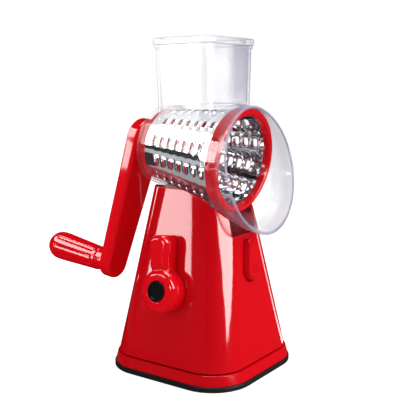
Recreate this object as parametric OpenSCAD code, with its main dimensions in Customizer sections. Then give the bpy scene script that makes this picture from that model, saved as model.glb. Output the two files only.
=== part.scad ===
// Hand-cranked drum shredder with a clear feed housing and a suction foot.
// The origin is the middle of the footprint on the table. The drum's mouth faces -Y,
// the crank is at +Y and the suction knob is on the -X side.

/* [Foot and tower] */
// Width of the rubber foot, knob side to far side
foot_width = 127.6; // [122:0.2:134]
// Depth of the rubber foot, front to back
foot_depth = 133.2; // [128:0.2:140]
// Corner radius of the rubber foot
foot_corner = 35.6; // [32:0.2:38]
// Height of the rubber rim
rim_height = 4.5; // [3:0.1:6]
// Height of the seam between the skirt and the tower
skirt_top = 13.5; // [12:0.1:15]
// How far the skirt's upper edge stands in from the rubber foot
skirt_inset = 3.0; // [2:0.1:4]
// How far the tower stands in from the skirt's upper edge
seam_step = 1.2; // [0.5:0.1:2]
// Lean of the side walls, inward per unit of height
side_lean_share = 0.198; // [0.18:0.002:0.21]
// Lean of the front and back walls, inward per unit of height
front_lean_share = 0.152; // [0.13:0.002:0.17]
// Height of the tower's cheeks over the deck
cheek_rise = 49; // [44:0.5:52]
// Corner radius of the tower at the seam
tower_corner = 29.5; // [26:0.5:32]
// Corner radius of the tower at the cheeks
cheek_corner = 26; // [20:0.5:28]
// Wall of the tower
tower_wall = 2.6; // [2:0.1:3.4]
// Height of the deck that the housing stands on
deck_height = 108; // [106:0.2:110]
// Thickness of the deck
deck_thick = 3.4; // [2.5:0.1:4.5]
// Width of each cheek beside the notch, at the cheeks' top
cheek_width = 12.2; // [11:0.1:14]
// Height of the notch's sill over the deck
sill_rise = 11; // [10:0.2:14]

/* [Drum axis] */
// Height of the drum's axis over the deck, above the middle of the foot
axis_rise = 77.6; // [76:0.2:80]
// Tilt of the drum's axis, mouth down, in degrees
axis_tilt = 7.4; // [6.8:0.1:8]

/* [Housing] */
// Outer radius of the barrel at its back end
barrel_back_radius = 34; // [33:0.1:35]
// Widening of the barrel per unit of length
barrel_flare_share = 0.139; // [0.13:0.001:0.145]
// Distance from the axis point over the foot back to the barrel's end
barrel_back = 44; // [43:0.2:45]
// Wall of the barrel
barrel_wall = 2.2; // [1.8:0.1:2.6]
// Chute width at the flange, across
chute_width = 70.4; // [69:0.2:71.4]
// Chute depth at the flange, front to back
chute_depth = 57.8; // [56:0.2:58.6]
// Height of the chute's flange over the drum's axis
chute_rise = 88.8; // [87:0.2:90]
// Corner radius of the chute
chute_corner = 10.4; // [9:0.1:12]
// Wall of the chute
chute_wall = 2.2; // [1.8:0.1:2.6]
// Draft of the chute from its flange down to the barrel, per side
chute_draft = 1.0; // [0.5:0.1:1.4]
// How far the chute's middle stands forward of the foot's middle
chute_forward = 3.9; // [3:0.1:4.6]
// Radius of the flared guard's rim
guard_radius = 53; // [52:0.1:54]
// Distance of the guard's rim in front of the foot's middle
guard_forward = 61; // [60:0.2:62.4]
// How far the middle of the guard's rim lies below the drum's axis point
guard_below = 12.3; // [11.6:0.1:13.6]
// Tilt of the guard's rim, foot of it forward, in degrees
guard_tilt = 10.15; // [9.5:0.05:11]
// How far the guard's own axis lies below the drum's
guard_drop = 1.7; // [1.4:0.1:2]
// Wall of the guard
guard_wall = 2.4; // [2:0.1:2.8]

/* [Pusher] */
// Thickness of the pusher's flange
flange_thick = 5.6; // [4.5:0.1:6.5]
// How far the flange overhangs the chute
flange_overhang = 2.2; // [1.5:0.1:3]
// Clearance between the pusher and the chute
pusher_gap = 0.5; // [0.4:0.05:0.9]
// Wall of the pusher
pusher_wall = 2.0; // [1.6:0.1:2.4]

/* [Drum] */
// Distance from the foot's middle forward to the drum's front face
ring_front = 45.15; // [44.6:0.05:45.6]
// Length of the red front ring
ring_length = 10.3; // [9.5:0.1:11]
// How far the front ring stands out from the steel
ring_proud = 1.77; // [1.3:0.01:1.9]
// How far the front ring stands in from the steel's outside
ring_lip = 3.93; // [3:0.01:5]
// Thickness of the drum's steel
steel_thick = 0.8; // [0.6:0.05:1]
// Rows of teeth round the drum
teeth_around = 12; // [10:1:14]
// Teeth along one row
teeth_along = 7; // [6:1:8]
// Width of one hole
hole_width = 3.6; // [3:0.1:4.2]
// Length of one hole round the drum
hole_length = 7.2; // [6:0.1:8]
// How far a tooth stands out of the drum
tooth_height = 1.0; // [0.7:0.1:1.1]
// Radius of the hub's boss
hub_boss_radius = 9.6; // [9:0.1:11]
// Width across the flats of the drive shaft
drive_flats = 9.0; // [8:0.1:10]

/* [Crank] */
// Distance from the barrel's back end to the arm's front face
arm_standoff = 12.8; // [12:0.1:14]
// Thickness of the arm
arm_thick = 12.7; // [11:0.1:14]
// Distance between the crank's two axes
arm_reach = 114.3; // [108:0.1:120]
// End radius of the arm at the drum's axis
arm_hub_radius = 19; // [17:0.1:21]
// End radius of the arm at the grip
arm_end_radius = 13; // [12:0.1:14]
// Swing of the arm from hanging straight down, in degrees
arm_swing = 15.4; // [0:0.1:30]
// Length of the grip
grip_length = 70.2; // [65:0.1:76]
// Radius of the grip at its collar
grip_collar_radius = 9.8; // [9:0.1:10.4]
// Largest radius of the grip
grip_radius = 12.9; // [12:0.1:13.6]
// Number of flutes round the grip
flute_count = 10; // [8:1:12]
// Radius of the pin in the grip
grip_pin_radius = 3.0; // [2.5:0.1:3.5]

/* [Suction knob] */
// Height of the knob's face over the table
knob_height = 77.5; // [74:0.5:80]
// How far the knob's face stands off the wall
knob_depth = 17.6; // [16:0.1:19]
// Radius of the knob's round part
knob_radius = 18; // [17:0.1:19]
// Reach of the wing from the knob's axis
wing_reach = 46; // [42:0.5:48]
// Width of the wing
wing_width = 18.4; // [16:0.1:20]
// Radius of the black cap
cap_radius = 8.3; // [7.5:0.1:8.8]
// Lift of the cup when the knob turns half a turn
cup_lift = 5.0; // [4:0.1:5]
// Base radius of the cam
cam_radius = 7.0; // [6.8:0.1:7.4]

/* [Release button] */
// Distance of the button's middle below the deck
button_drop = 10.5; // [10:0.1:12]
// How far the button stands off the wall
button_proud = 5.0; // [4:0.1:6]
// Radius of the button's wide end
button_wide_radius = 9.4; // [8.8:0.1:10]
// Radius of the button's narrow end
button_narrow_radius = 4.3; // [4:0.1:4.6]
// Distance from the button's middle up to the centre of its narrow end
button_narrow_up = 12.9; // [12.6:0.1:13.2]
// Distance from the button's middle down to the centre of its wide end
button_wide_down = 8.0; // [7.5:0.1:8.4]

/* [Hidden] */

$fn = 72;
hull_sides = 32;
overrun = 1.0;
running_gap = 0.05;
seat_gap = 0.3;
side_step = 0.02;
far = 200;

abs_red = [0.86, 0.05, 0.08];
clear_plastic = [0.88, 0.88, 0.94, 0.45];
soft_black = [0.09, 0.09, 0.10];
pale_nylon = [0.90, 0.89, 0.85];
bright_steel = [0.78, 0.79, 0.81];

// Heights that follow the deck
cheek_top = deck_height + cheek_rise;
axis_height = deck_height + axis_rise;
guard_height = axis_height - guard_below;

// Tower outline: half sizes of the leaning walls at a height
tower_half_x_seam = foot_width / 2 - skirt_inset - seam_step;
front_inset_share = 1.3;
front_inset = front_inset_share * skirt_inset;
tower_half_y_seam = foot_depth / 2 - front_inset - seam_step;
function tower_x(z) = tower_half_x_seam - side_lean_share * (z - skirt_top);
function tower_y(z) = tower_half_y_seam - front_lean_share * (z - skirt_top);
corner_room = 2.0;
function tower_r(z) = min(tower_x(z) - corner_room, tower_y(z) - corner_room,
    tower_corner + (cheek_corner - tower_corner) * (z - skirt_top) / (cheek_top - skirt_top));
notch_half = tower_x(cheek_top) - cheek_width;
notch_sill = deck_height + sill_rise;

// Skirt, rim and cup
skirt_wall = 3.6;
skirt_foot_inset = 1.0;
skirt_room_x = foot_width / 2 - skirt_inset - skirt_wall;
skirt_room_y = foot_depth / 2 - front_inset - skirt_wall;
skirt_room_corner = tower_corner - skirt_wall;
spigot_wall = 2.4;
spigot_gap = 0.4;
spigot_top = 20;
spigot_half_x = tower_x(spigot_top) - tower_wall - spigot_gap;
spigot_half_y = tower_y(spigot_top) - tower_wall - spigot_gap;
spigot_corner = tower_r(spigot_top) - tower_wall - spigot_gap;
ledge_thick = 2.5;
web_thick = 2.4;
rim_tongue_height = 4.0;
rim_tongue_wall = 2.2;
rim_floor = 2.5;
cup_from_edge = 10.3;
cup_radius = min(foot_width, foot_depth) / 2 - cup_from_edge;
cup_edge = 2.2;
cup_clear = 0.3;
cup_lip = 5;
cup_skin = 3.0;
cup_crown_radius = 22;
cup_top = 9;

// Pull stem and its guide
stem_radius = 5.0;
stem_foot_radius = 18;
stem_foot_thick = 3.0;
guide_wall = 3.4;

// Skirt screws
screw_from_side = 20.8;
screw_from_front = 23.6;
screw_x = foot_width / 2 - screw_from_side;
screw_y = foot_depth / 2 - screw_from_front;
screw_radius = 1.6;
screw_head_radius = 3.4;
screw_head_thick = 2.4;
screw_length = 12;
post_radius = 4.6;
post_top = 44;

// Knob frame: where the knob's axis meets the wall, and the lean of that wall
knob_lean = atan(side_lean_share);
knob_wall_z = knob_height - knob_depth * sin(knob_lean);
knob_wall_x = -tower_x(knob_wall_z);
shaft_to_middle = -knob_wall_x / cos(knob_lean);
knob_gap = 0.6;
knob_round_radius = 3.2;
wing_round = 5.5;
wing_inset = 1.6;
cap_thick = 3.0;
cap_seat = knob_depth - cap_thick;
cap_dish = 1.1;
cap_rim = 1.4;
drive_side = 8.4;
knob_web = 2.0;
knob_screw_radius = 2.0;
knob_screw_head_radius = 3.6;
knob_screw_head_thick = 2.4;
knob_screw_gap = 1.2;
knob_screw_length = 17;
drive_end = cap_seat - knob_screw_gap - knob_screw_head_thick - knob_web;
journal_radius = 6.0;
bush_radius = 9.0;
bush_flange_radius = 11.6;
bush_flange_thick = 2.0;
bush_length = 10.0;
bush_boss_wall = 3.2;
bush_boss_length = 8.0;
shaft_radius = 5.0;
cam_thick = 8.0;
bracket_offset = 12.9;
bracket_thick = 3.0;
bracket_half_width = 12;
bracket_below = 8;
shaft_tail = 2.0;
bracket_up = (deck_height - deck_thick / 2 - knob_wall_z
    + (shaft_to_middle + bracket_offset) * sin(knob_lean)) / cos(knob_lean);
cam_pitch = cup_lift * cos(knob_lean) / PI;
cam_top_radius = cam_radius + cam_pitch * PI;

// Cam yoke
yoke_gap = 0.1;
yoke_side_gap = 1.0;
yoke_bottom_gap = 2.0;
yoke_bar = 3.2;
yoke_thick = 7.0;
yoke_ceiling = cam_radius + yoke_gap;
yoke_floor = cam_top_radius + yoke_bottom_gap;
yoke_half = cam_top_radius + yoke_side_gap;
yoke_boss_radius = 7.2;
yoke_boss_length = 9;
pin_radius = 1.5;
pin_drop = 4;
stem_drop = 17.6;
stem_top = knob_wall_z - shaft_to_middle * sin(knob_lean) - stem_drop;
yoke_boss_bottom = stem_top - yoke_boss_length;
pin_height = stem_top - pin_drop;
guide_gap = 8;
guide_top = yoke_boss_bottom - guide_gap;

// Release button frame: where the button's middle meets the front wall
button_lean = atan(front_lean_share);
button_height = deck_height - button_drop;
button_wall_y = -tower_y(button_height);
button_inside = 3.2;
button_slot_gap = 0.8;
pivot_in = 5.2;
pivot_up = 4.0;
latch_pin_radius = 1.25;
knuckle_radius = 3.0;
knuckle_half = 6.2;
lug_near = 8.2;
lug_thick = 3.6;
latch_arm_half = 4.0;
latch_arm_thick = 2.8;
latch_swing_room = 0.8;
latch_nose_top = 18.4;
latch_nose_reach = 6.4;
spring_wire = 0.35;
spring_coil_radius = 1.7;
spring_leg = 9;
spring_leg_share = 0.7;

// Housing
ring_gap = 0.6;
collar_lead = 2.25;
barrel_front = ring_front - ring_length - ring_gap - collar_lead;
collar_proud = 1.236;
collar_front_radius = barrel_back_radius + barrel_flare_share * (barrel_front + barrel_back)
    + collar_proud;
collar_step = 1.2;
back_wall = 2.4;
flange_bottom = axis_height + chute_rise;
total_height = flange_bottom + flange_thick;
chute_bead = 1.2;
chute_bead_height = 2.6;
chute_root_rise = 14;
chute_root = axis_height + chute_root_rise;
barrel_top = axis_height + barrel_back_radius + barrel_flare_share * barrel_back;
foot_top_drop = 20;
rail_gap = 0.5;
foot_half_width = notch_half - rail_gap;
foot_from_front = 8.136;
foot_front = tower_y(deck_height) - foot_from_front;
foot_from_back = 20.136;
foot_back = tower_y(deck_height) - foot_from_back;
foot_wall = 2.2;
foot_top = axis_height - foot_top_drop;
foot_rib_width = 1.6;
foot_rib_height = 27;
foot_rib_proud = 1.4;
foot_rib_places_shares = [-0.78, -0.40, 0.40, 0.78];
latch_window_half = 5.4;
latch_window_rise = 2.4;
latch_window_height = 5.6;
latch_window_bottom = deck_height + latch_window_rise;
latch_window_top = latch_window_bottom + latch_window_height;
saddle_gap = 0.6;
bush_collar_wall = 3.0;
bush_collar_length = 6.0;
rail_thick = 2.2;
rail_height = 26;

// Guard profile: radius and distance along the axis, from the barrel to past the rim
guard_length = 79.6;
guard_shares = [
    [0.802, 0.377], [0.838, 0.440], [0.857, 0.503], [0.892, 0.583],
    [0.953, 0.681], [0.989, 0.779], [1.0, 0.880], [1.002, 1.03]
];

// Pusher
pusher_sink = 1.8;
pusher_bottom = barrel_top - pusher_sink;
pusher_floor = 2.4;

// Drum
sleeve_gap = 1.9;
sleeve_recess = 6.2;
sleeve_front = ring_front - sleeve_recess;
hub_plate = 3.4;
hub_gap = 1.2;
sleeve_back = barrel_back - back_wall - hub_gap - hub_plate;
ring_radius = sleeve_r(sleeve_front) + ring_proud;
ring_bore = sleeve_r(sleeve_front) - ring_lip;
hub_rim_depth = 7;
hub_rim_wall = 2.4;
hub_boss_length = 17.4;
hub_boss_end = 2.0;
ring_round = 1.2;
ring_lead = 1.4;
socket_gap = 0.1;
socket_end_gap = 0.4;
tooth_rim = 0.9;
tooth_margin = 10.025;
tooth_first = sleeve_front - tooth_margin;
tooth_pitch = (sleeve_front + sleeve_back - 2 * tooth_margin) / (teeth_along - 0.5);

// Crank and grip
rear_bush_radius = 11;
rear_bush_flange_radius = 13;
rear_bush_flange = 1.6;
crank_journal_radius = 8;
crank_root_radius = 7;
crank_root_depth = 9;
crank_neck_radius = 12.4;
arm_front = barrel_back + arm_standoff;
neck_gap = 0.6;
neck_front = barrel_back + bush_collar_length + rear_bush_flange + neck_gap;
journal_gap = 0.6;
grip_start_gap = 0.5;
grip_collar_length = 8;
grip_widest = 52;
grip_neck_radius = 10.6;
flute_radius = 3.2;
flute_depth = 0.9;
flute_start = 14;
flute_end = 55;
grip_taper = atan((grip_radius - grip_neck_radius) / (grip_widest - grip_collar_length));
grip_pin_length = 58;
grip_pin_root = 9;

// Frames
module drum_frame() translate([0, 0, axis_height]) rotate([90 + axis_tilt, 0, 0]) children();
module crank_frame() translate([0, 0, axis_height]) rotate([axis_tilt - 90, 0, 0])
    rotate([0, 0, arm_swing]) children();
module grip_frame() crank_frame() translate([0, arm_reach, 0]) children();
module knob_frame() translate([knob_wall_x, 0, knob_wall_z])
    rotate([0, knob_lean - 90, 0]) children();
module button_frame() translate([0, button_wall_y, button_height])
    rotate([-button_lean, 0, 0]) children();
module guard_frame() translate([0, -guard_forward, guard_height])
    rotate([90 - guard_tilt, 0, 0]) children();

// Outlines
module rounded(half_x, half_y, r, sides = $fn) {
    square([2 * half_x, 2 * (half_y - r)], center = true);
    square([2 * (half_x - r), 2 * half_y], center = true);
    for (sx = [-1, 1], sy = [-1, 1])
        translate([sx * (half_x - r), sy * (half_y - r)]) circle(r, $fn = sides);
}

module slab(half_x, half_y, r, thick) linear_extrude(thick) rounded(half_x, half_y, r);

module thin_slab(half_x, half_y, r) linear_extrude(overrun / 10)
    rounded(half_x, half_y, r, hull_sides);

// Link outline along +Y: two round ends, and straight sides a hair inside their tangents
module link(reach, r1, r2) {
    lean = asin((r1 - r2) / reach);
    side1 = r1 - side_step;
    side2 = r2 - side_step;
    circle(r1);
    translate([0, reach]) circle(r2);
    polygon([
        [-side1 * cos(lean), side1 * sin(lean)], [side1 * cos(lean), side1 * sin(lean)],
        [side2 * cos(lean), reach + side2 * sin(lean)],
        [-side2 * cos(lean), reach + side2 * sin(lean)]
    ]);
}

module tower_solid(z1, z2, inset) hull() {
    translate([0, 0, z1])
        thin_slab(tower_x(z1) - inset, tower_y(z1) - inset, tower_r(z1) - inset);
    translate([0, 0, z2])
        thin_slab(tower_x(z2) - inset, tower_y(z2) - inset, tower_r(z2) - inset);
}

function barrel_r(s) = barrel_back_radius + barrel_flare_share * (s + barrel_back);
function sleeve_r(s) = barrel_r(s) - barrel_wall - sleeve_gap;

module guard_profile(inset, front) polygon(concat(
    [[0, guard_shares[0][1] * guard_length]],
    [for (p = guard_shares) [p[0] * guard_radius - inset, p[1] * guard_length + front]],
    [[0, guard_shares[7][1] * guard_length + front]]
));

// Outer form of the housing round the drum, grown by a clearance
module barrel_form(grow) {
    drum_frame() {
        translate([0, 0, -barrel_back - grow])
            cylinder(h = barrel_back + barrel_front + 2 * grow,
                r1 = barrel_r(-barrel_back) + grow, r2 = barrel_r(barrel_front) + grow);
        translate([0, 0, barrel_front - overrun])
            cylinder(h = collar_step + overrun, r1 = barrel_r(barrel_front - overrun) + grow,
                r2 = collar_front_radius + grow);
        translate([0, 0, barrel_front + collar_step])
            cylinder(h = guard_length - barrel_front, r = collar_front_radius + grow);
        translate([0, -guard_drop, 0]) rotate_extrude() guard_profile(-grow, 0);
    }
}

// Tower
module base_shell() color(abs_red) {
    difference() {
        tower_solid(skirt_top, cheek_top, 0);
        difference() {
            tower_solid(skirt_top - overrun, cheek_top + overrun, tower_wall);
            translate([0, 0, deck_height - deck_thick])
                slab(tower_x(deck_height), tower_y(deck_height), cheek_corner, deck_thick);
            screw_posts();
            cam_bracket();
            knob_frame() translate([0, 0, -bush_boss_length])
                cylinder(h = bush_boss_length, r = bush_radius + bush_boss_wall);
            button_frame() latch_lugs();
            foot_rails();
        }
        barrel_form(saddle_gap);
        translate([-notch_half, -far, notch_sill]) cube([2 * notch_half, far, far]);
        knob_frame() translate([0, 0, -bush_length - overrun])
            cylinder(h = bush_length + 2 * overrun, r = bush_radius + running_gap);
        knob_frame() translate([0, 0, -shaft_to_middle - bracket_offset - bracket_thick])
            bracket_slot();
        button_frame() button_slot();
        deck_slot();
        for (sx = [-1, 1], sy = [-1, 1])
            translate([sx * screw_x, sy * screw_y, spigot_top - overrun])
                cylinder(h = screw_length + 2 * overrun, r = screw_radius + running_gap / 2);
    }
}

module screw_posts() for (sx = [-1, 1], sy = [-1, 1])
    translate([sx * screw_x, sy * screw_y, spigot_top + seat_gap])
        cylinder(h = post_top - spigot_top, r = post_radius);

module cam_bracket() knob_frame()
    translate([-bracket_below, -bracket_half_width, -shaft_to_middle - bracket_offset])
        cube([bracket_up + bracket_below, 2 * bracket_half_width, bracket_thick]);

module bracket_slot() {
    cylinder(h = 3 * bracket_thick, r = shaft_radius + running_gap);
    translate([-bracket_below - overrun, -shaft_radius - running_gap, 0])
        cube([bracket_below + overrun, 2 * (shaft_radius + running_gap), 3 * bracket_thick]);
}

module foot_rails() for (side = [-1, 1])
    translate([side * (foot_half_width + rail_gap + rail_thick / 2) - rail_thick / 2,
               -foot_front, deck_height - overrun])
        cube([rail_thick, foot_front + foot_back, rail_height + overrun]);

module deck_slot() translate([-latch_arm_half - button_slot_gap, -tower_y(deck_height),
                              deck_height - deck_thick - overrun])
    cube([2 * (latch_arm_half + button_slot_gap),
          tower_y(deck_height) - foot_front, deck_thick + 2 * overrun]);

module latch_lugs() for (side = [-1, 1])
    translate([side * (lug_near + lug_thick / 2), 0, pivot_up]) {
        difference() {
            union() {
                translate([0, pivot_in, 0]) rotate([0, 90, 0])
                    cylinder(h = lug_thick, r = knuckle_radius, center = true);
                translate([-lug_thick / 2, overrun, -knuckle_radius])
                    cube([lug_thick, pivot_in - overrun, 2 * knuckle_radius]);
            }
            translate([0, pivot_in, 0]) rotate([0, 90, 0])
                cylinder(h = lug_thick + overrun, r = latch_pin_radius + running_gap / 2,
                    center = true);
        }
    }

module teardrop(grow) translate([0, -button_wide_down])
    link(button_wide_down + button_narrow_up, button_wide_radius + grow,
        button_narrow_radius + grow);

module button_slot() translate([0, tower_wall + 2 * overrun, 0]) rotate([90, 0, 0])
    linear_extrude(tower_wall + 4 * overrun) teardrop(button_slot_gap);

// Skirt under the tower
module base_skirt() color(abs_red) difference() {
    union() {
        hull() {
            translate([0, 0, rim_height])
                thin_slab(foot_width / 2 - skirt_foot_inset, foot_depth / 2 - skirt_foot_inset,
                    foot_corner - skirt_foot_inset);
            translate([0, 0, skirt_top - overrun / 10])
                thin_slab(foot_width / 2 - skirt_inset, foot_depth / 2 - front_inset,
                    tower_corner + seam_step);
        }
        translate([0, 0, skirt_top - overrun])
            slab(spigot_half_x, spigot_half_y, spigot_corner, spigot_top - skirt_top + overrun);
        translate([0, 0, spigot_top - overrun])
            cylinder(h = guide_top - spigot_top + overrun, r = stem_radius + guide_wall);
    }
    translate([0, 0, rim_height - overrun])
        slab(skirt_room_x, skirt_room_y, skirt_room_corner,
            skirt_top - ledge_thick - rim_height + overrun);
    translate([0, 0, rim_height])
        slab(spigot_half_x - spigot_wall, spigot_half_y - spigot_wall,
            spigot_corner - spigot_wall, spigot_top - web_thick - rim_height);
    translate([0, 0, rim_height])
        cylinder(h = guide_top, r = stem_radius + running_gap);
    for (sx = [-1, 1], sy = [-1, 1])
        translate([sx * screw_x, sy * screw_y, spigot_top - web_thick - overrun])
            cylinder(h = web_thick + 2 * overrun, r = screw_radius + seat_gap);
}

module rim_seal() color(soft_black) difference() {
    union() {
        slab(foot_width / 2, foot_depth / 2, foot_corner, rim_height);
        slab(skirt_room_x - seat_gap, skirt_room_y - seat_gap, skirt_room_corner - seat_gap,
            rim_height + rim_tongue_height);
    }
    translate([0, 0, rim_floor])
        slab(skirt_room_x - seat_gap - rim_tongue_wall, skirt_room_y - seat_gap
            - rim_tongue_wall, skirt_room_corner - seat_gap - rim_tongue_wall, foot_depth);
    translate([0, 0, -overrun])
        cylinder(h = rim_height + 2 * overrun, r = cup_radius + seat_gap);
}

// Bell-shaped rubber cup inside the rim
module cup_profile(top, edge) polygon([
    [0, edge], [cup_radius, edge], [cup_radius, edge + cup_edge],
    [cup_radius - cup_lip, edge + cup_edge], [cup_crown_radius, top], [0, top]
]);
module suction_cup() color(soft_black) difference() {
    rotate_extrude() cup_profile(cup_top, cup_clear);
    rotate_extrude() polygon([
        [0, -overrun], [cup_radius - cup_lip, -overrun],
        [cup_radius - cup_lip, cup_clear],
        [cup_crown_radius, cup_top - cup_skin], [0, cup_top - cup_skin]
    ]);
}

module pull_stem() color(pale_nylon) difference() {
    union() {
        translate([0, 0, cup_top]) cylinder(h = stem_foot_thick, r = stem_foot_radius);
        translate([0, 0, cup_top]) cylinder(h = stem_top - cup_top, r = stem_radius);
    }
    yoke_pin_bore(pin_radius);
}

module yoke_pin_bore(r) translate([0, 0, pin_height]) rotate([90, 0, 0])
    cylinder(h = 3 * yoke_boss_radius, r = r, center = true);

// Follower frame round the cam, lying in the plane of the leaning cam shaft
module cam_yoke() color(pale_nylon) difference() {
    union() {
        knob_frame() translate([-yoke_floor - yoke_bar, -yoke_half - yoke_bar,
                                -shaft_to_middle - yoke_thick / 2])
            cube([yoke_floor + yoke_ceiling + 2 * yoke_bar, 2 * (yoke_half + yoke_bar),
                  yoke_thick]);
        translate([0, 0, yoke_boss_bottom])
            cylinder(h = stem_top + yoke_bar - yoke_boss_bottom, r = yoke_boss_radius);
    }
    knob_frame() translate([-yoke_floor, -yoke_half, -shaft_to_middle - yoke_boss_radius * 2])
        cube([yoke_floor + yoke_ceiling, 2 * yoke_half, yoke_boss_radius * 4]);
    translate([0, 0, yoke_boss_bottom - overrun])
        cylinder(h = stem_top + running_gap - yoke_boss_bottom + overrun,
            r = stem_radius + running_gap);
    yoke_pin_bore(pin_radius);
}

module yoke_pin() color(bright_steel) translate([0, 0, pin_height]) rotate([90, 0, 0])
    cylinder(h = 2 * yoke_boss_radius, r = pin_radius - running_gap / 2, center = true);

// Cam outline: the lift grows evenly with the angle over half a turn, and a round back
// leads home again. Each point comes from the support distance and its slope.
function cam_support(b) = b <= 180
    ? cam_radius + cam_pitch * b * PI / 180
    : (cam_radius + cam_top_radius) / 2
        + (cam_top_radius - cam_radius) / 2 * cos(b - 180) + cam_pitch * sin(b - 180);
function cam_slope(b) = b <= 180
    ? cam_pitch
    : -(cam_top_radius - cam_radius) / 2 * sin(b - 180) + cam_pitch * cos(b - 180);
module cam_outline() polygon([for (b = [0 : 6 : 360])
    [cam_support(b) * cos(b) - cam_slope(b) * sin(b),
     cam_support(b) * sin(b) + cam_slope(b) * cos(b)]]);

module cam_shaft() color(pale_nylon) knob_frame() difference() {
    union() {
        translate([0, 0, -bush_length - bush_flange_thick])
            cylinder(h = bush_length + bush_flange_thick + knob_gap, r = journal_radius);
        translate([-drive_side / 2, -drive_side / 2, 0])
            cube([drive_side, drive_side, drive_end]);
        translate([0, 0, -shaft_to_middle - bracket_offset - shaft_tail])
            cylinder(h = shaft_to_middle + bracket_offset + shaft_tail, r = shaft_radius);
        translate([0, 0, -shaft_to_middle - cam_thick / 2])
            linear_extrude(cam_thick) cam_outline();
    }
    translate([0, 0, drive_end + knob_web - knob_screw_length - overrun])
        cylinder(h = knob_screw_length + overrun, r = knob_screw_radius + running_gap / 2);
}

module cam_bush() color(pale_nylon) knob_frame() difference() {
    union() {
        translate([0, 0, -bush_length]) cylinder(h = bush_length, r = bush_radius);
        translate([0, 0, -bush_boss_length - bush_flange_thick])
            cylinder(h = bush_flange_thick, r = bush_flange_radius);
    }
    translate([0, 0, -bush_length - bush_flange_thick])
        cylinder(h = 2 * (bush_length + bush_flange_thick), r = journal_radius + running_gap);
}

module suction_knob() color(abs_red) knob_frame() difference() {
    union() {
        translate([0, 0, knob_gap])
            cylinder(h = knob_depth - knob_round_radius - knob_gap, r = knob_radius);
        translate([0, 0, knob_gap])
            cylinder(h = knob_depth - knob_gap, r = knob_radius - knob_round_radius);
        translate([0, 0, knob_depth - knob_round_radius]) rotate_extrude()
            translate([knob_radius - knob_round_radius, 0]) circle(knob_round_radius);
        translate([wing_reach / 2, 0, wing_inset])
            slab(wing_reach / 2, wing_width / 2, wing_round, knob_depth - 2 * wing_inset);
    }
    translate([0, 0, cap_seat]) cylinder(h = knob_depth, r = cap_radius + running_gap);
    translate([0, 0, drive_end + knob_web])
        cylinder(h = knob_depth, r = knob_screw_head_radius + seat_gap);
    cylinder(h = knob_depth, r = knob_screw_radius + seat_gap);
    translate([-drive_side / 2 - running_gap, -drive_side / 2 - running_gap, 0])
        cube([drive_side + 2 * running_gap, drive_side + 2 * running_gap,
              drive_end + running_gap]);
}

module knob_cap() color(soft_black) knob_frame() translate([0, 0, cap_seat]) difference() {
    cylinder(h = knob_depth - cap_seat, r = cap_radius);
    translate([0, 0, knob_depth - cap_seat - cap_dish])
        cylinder(h = cap_dish + overrun, r = cap_radius - cap_rim);
}

module knob_screw() color(bright_steel) knob_frame() {
    translate([0, 0, drive_end + knob_web])
        cylinder(h = knob_screw_head_thick, r = knob_screw_head_radius);
    translate([0, 0, drive_end + knob_web - knob_screw_length])
        cylinder(h = knob_screw_length + overrun, r = knob_screw_radius);
}

// Release button, its pivot and its spring
module release_button() color(abs_red) button_frame() difference() {
    union() {
        translate([0, button_inside, 0]) rotate([90, 0, 0])
            linear_extrude(button_inside + button_proud) teardrop(0);
        translate([0, pivot_in, pivot_up]) rotate([0, 90, 0])
            cylinder(h = 2 * knuckle_half, r = knuckle_radius, center = true);
        translate([-latch_arm_half, button_inside - seat_gap, pivot_up])
            cube([2 * latch_arm_half, latch_arm_thick + seat_gap,
                  button_narrow_up - pivot_up]);
        translate([-latch_arm_half, button_inside + latch_swing_room,
                   button_narrow_up - overrun])
            cube([2 * latch_arm_half, latch_nose_reach - button_inside - latch_swing_room,
                  latch_nose_top - button_narrow_up + overrun]);
    }
    translate([0, pivot_in, pivot_up]) rotate([0, 90, 0])
        cylinder(h = 3 * knuckle_half, r = latch_pin_radius + running_gap, center = true);
}

module latch_pin() color(bright_steel) button_frame()
    translate([0, pivot_in, pivot_up]) rotate([0, 90, 0])
        cylinder(h = 2 * (lug_near + lug_thick), r = latch_pin_radius, center = true);

module latch_spring() color(bright_steel) button_frame()
    translate([knuckle_half + seat_gap, pivot_in, pivot_up]) {
        difference() {
            rotate([0, 90, 0])
                cylinder(h = lug_near - knuckle_half - 2 * seat_gap,
                    r = spring_coil_radius + spring_wire);
            translate([-overrun, 0, 0]) rotate([0, 90, 0])
                cylinder(h = lug_near, r = spring_coil_radius - spring_wire);
        }
        for (side = [-1, 1])
            translate([spring_wire, side * spring_coil_radius, -spring_leg])
                cylinder(h = spring_leg, r = spring_wire * spring_leg_share);
    }

// Clear housing
function chute_half_x(z) = chute_width / 2
    - chute_draft * (flange_bottom - z) / (flange_bottom - barrel_top);
function chute_half_y(z) = chute_depth / 2
    - chute_draft * (flange_bottom - z) / (flange_bottom - barrel_top);
module chute_solid(z1, z2, inset) translate([0, -chute_forward, 0]) hull() {
    translate([0, 0, z1])
        thin_slab(chute_half_x(z1) - inset, chute_half_y(z1) - inset, chute_corner - inset);
    translate([0, 0, z2 - overrun / 10])
        thin_slab(chute_half_x(z2) - inset, chute_half_y(z2) - inset, chute_corner - inset);
}

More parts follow.
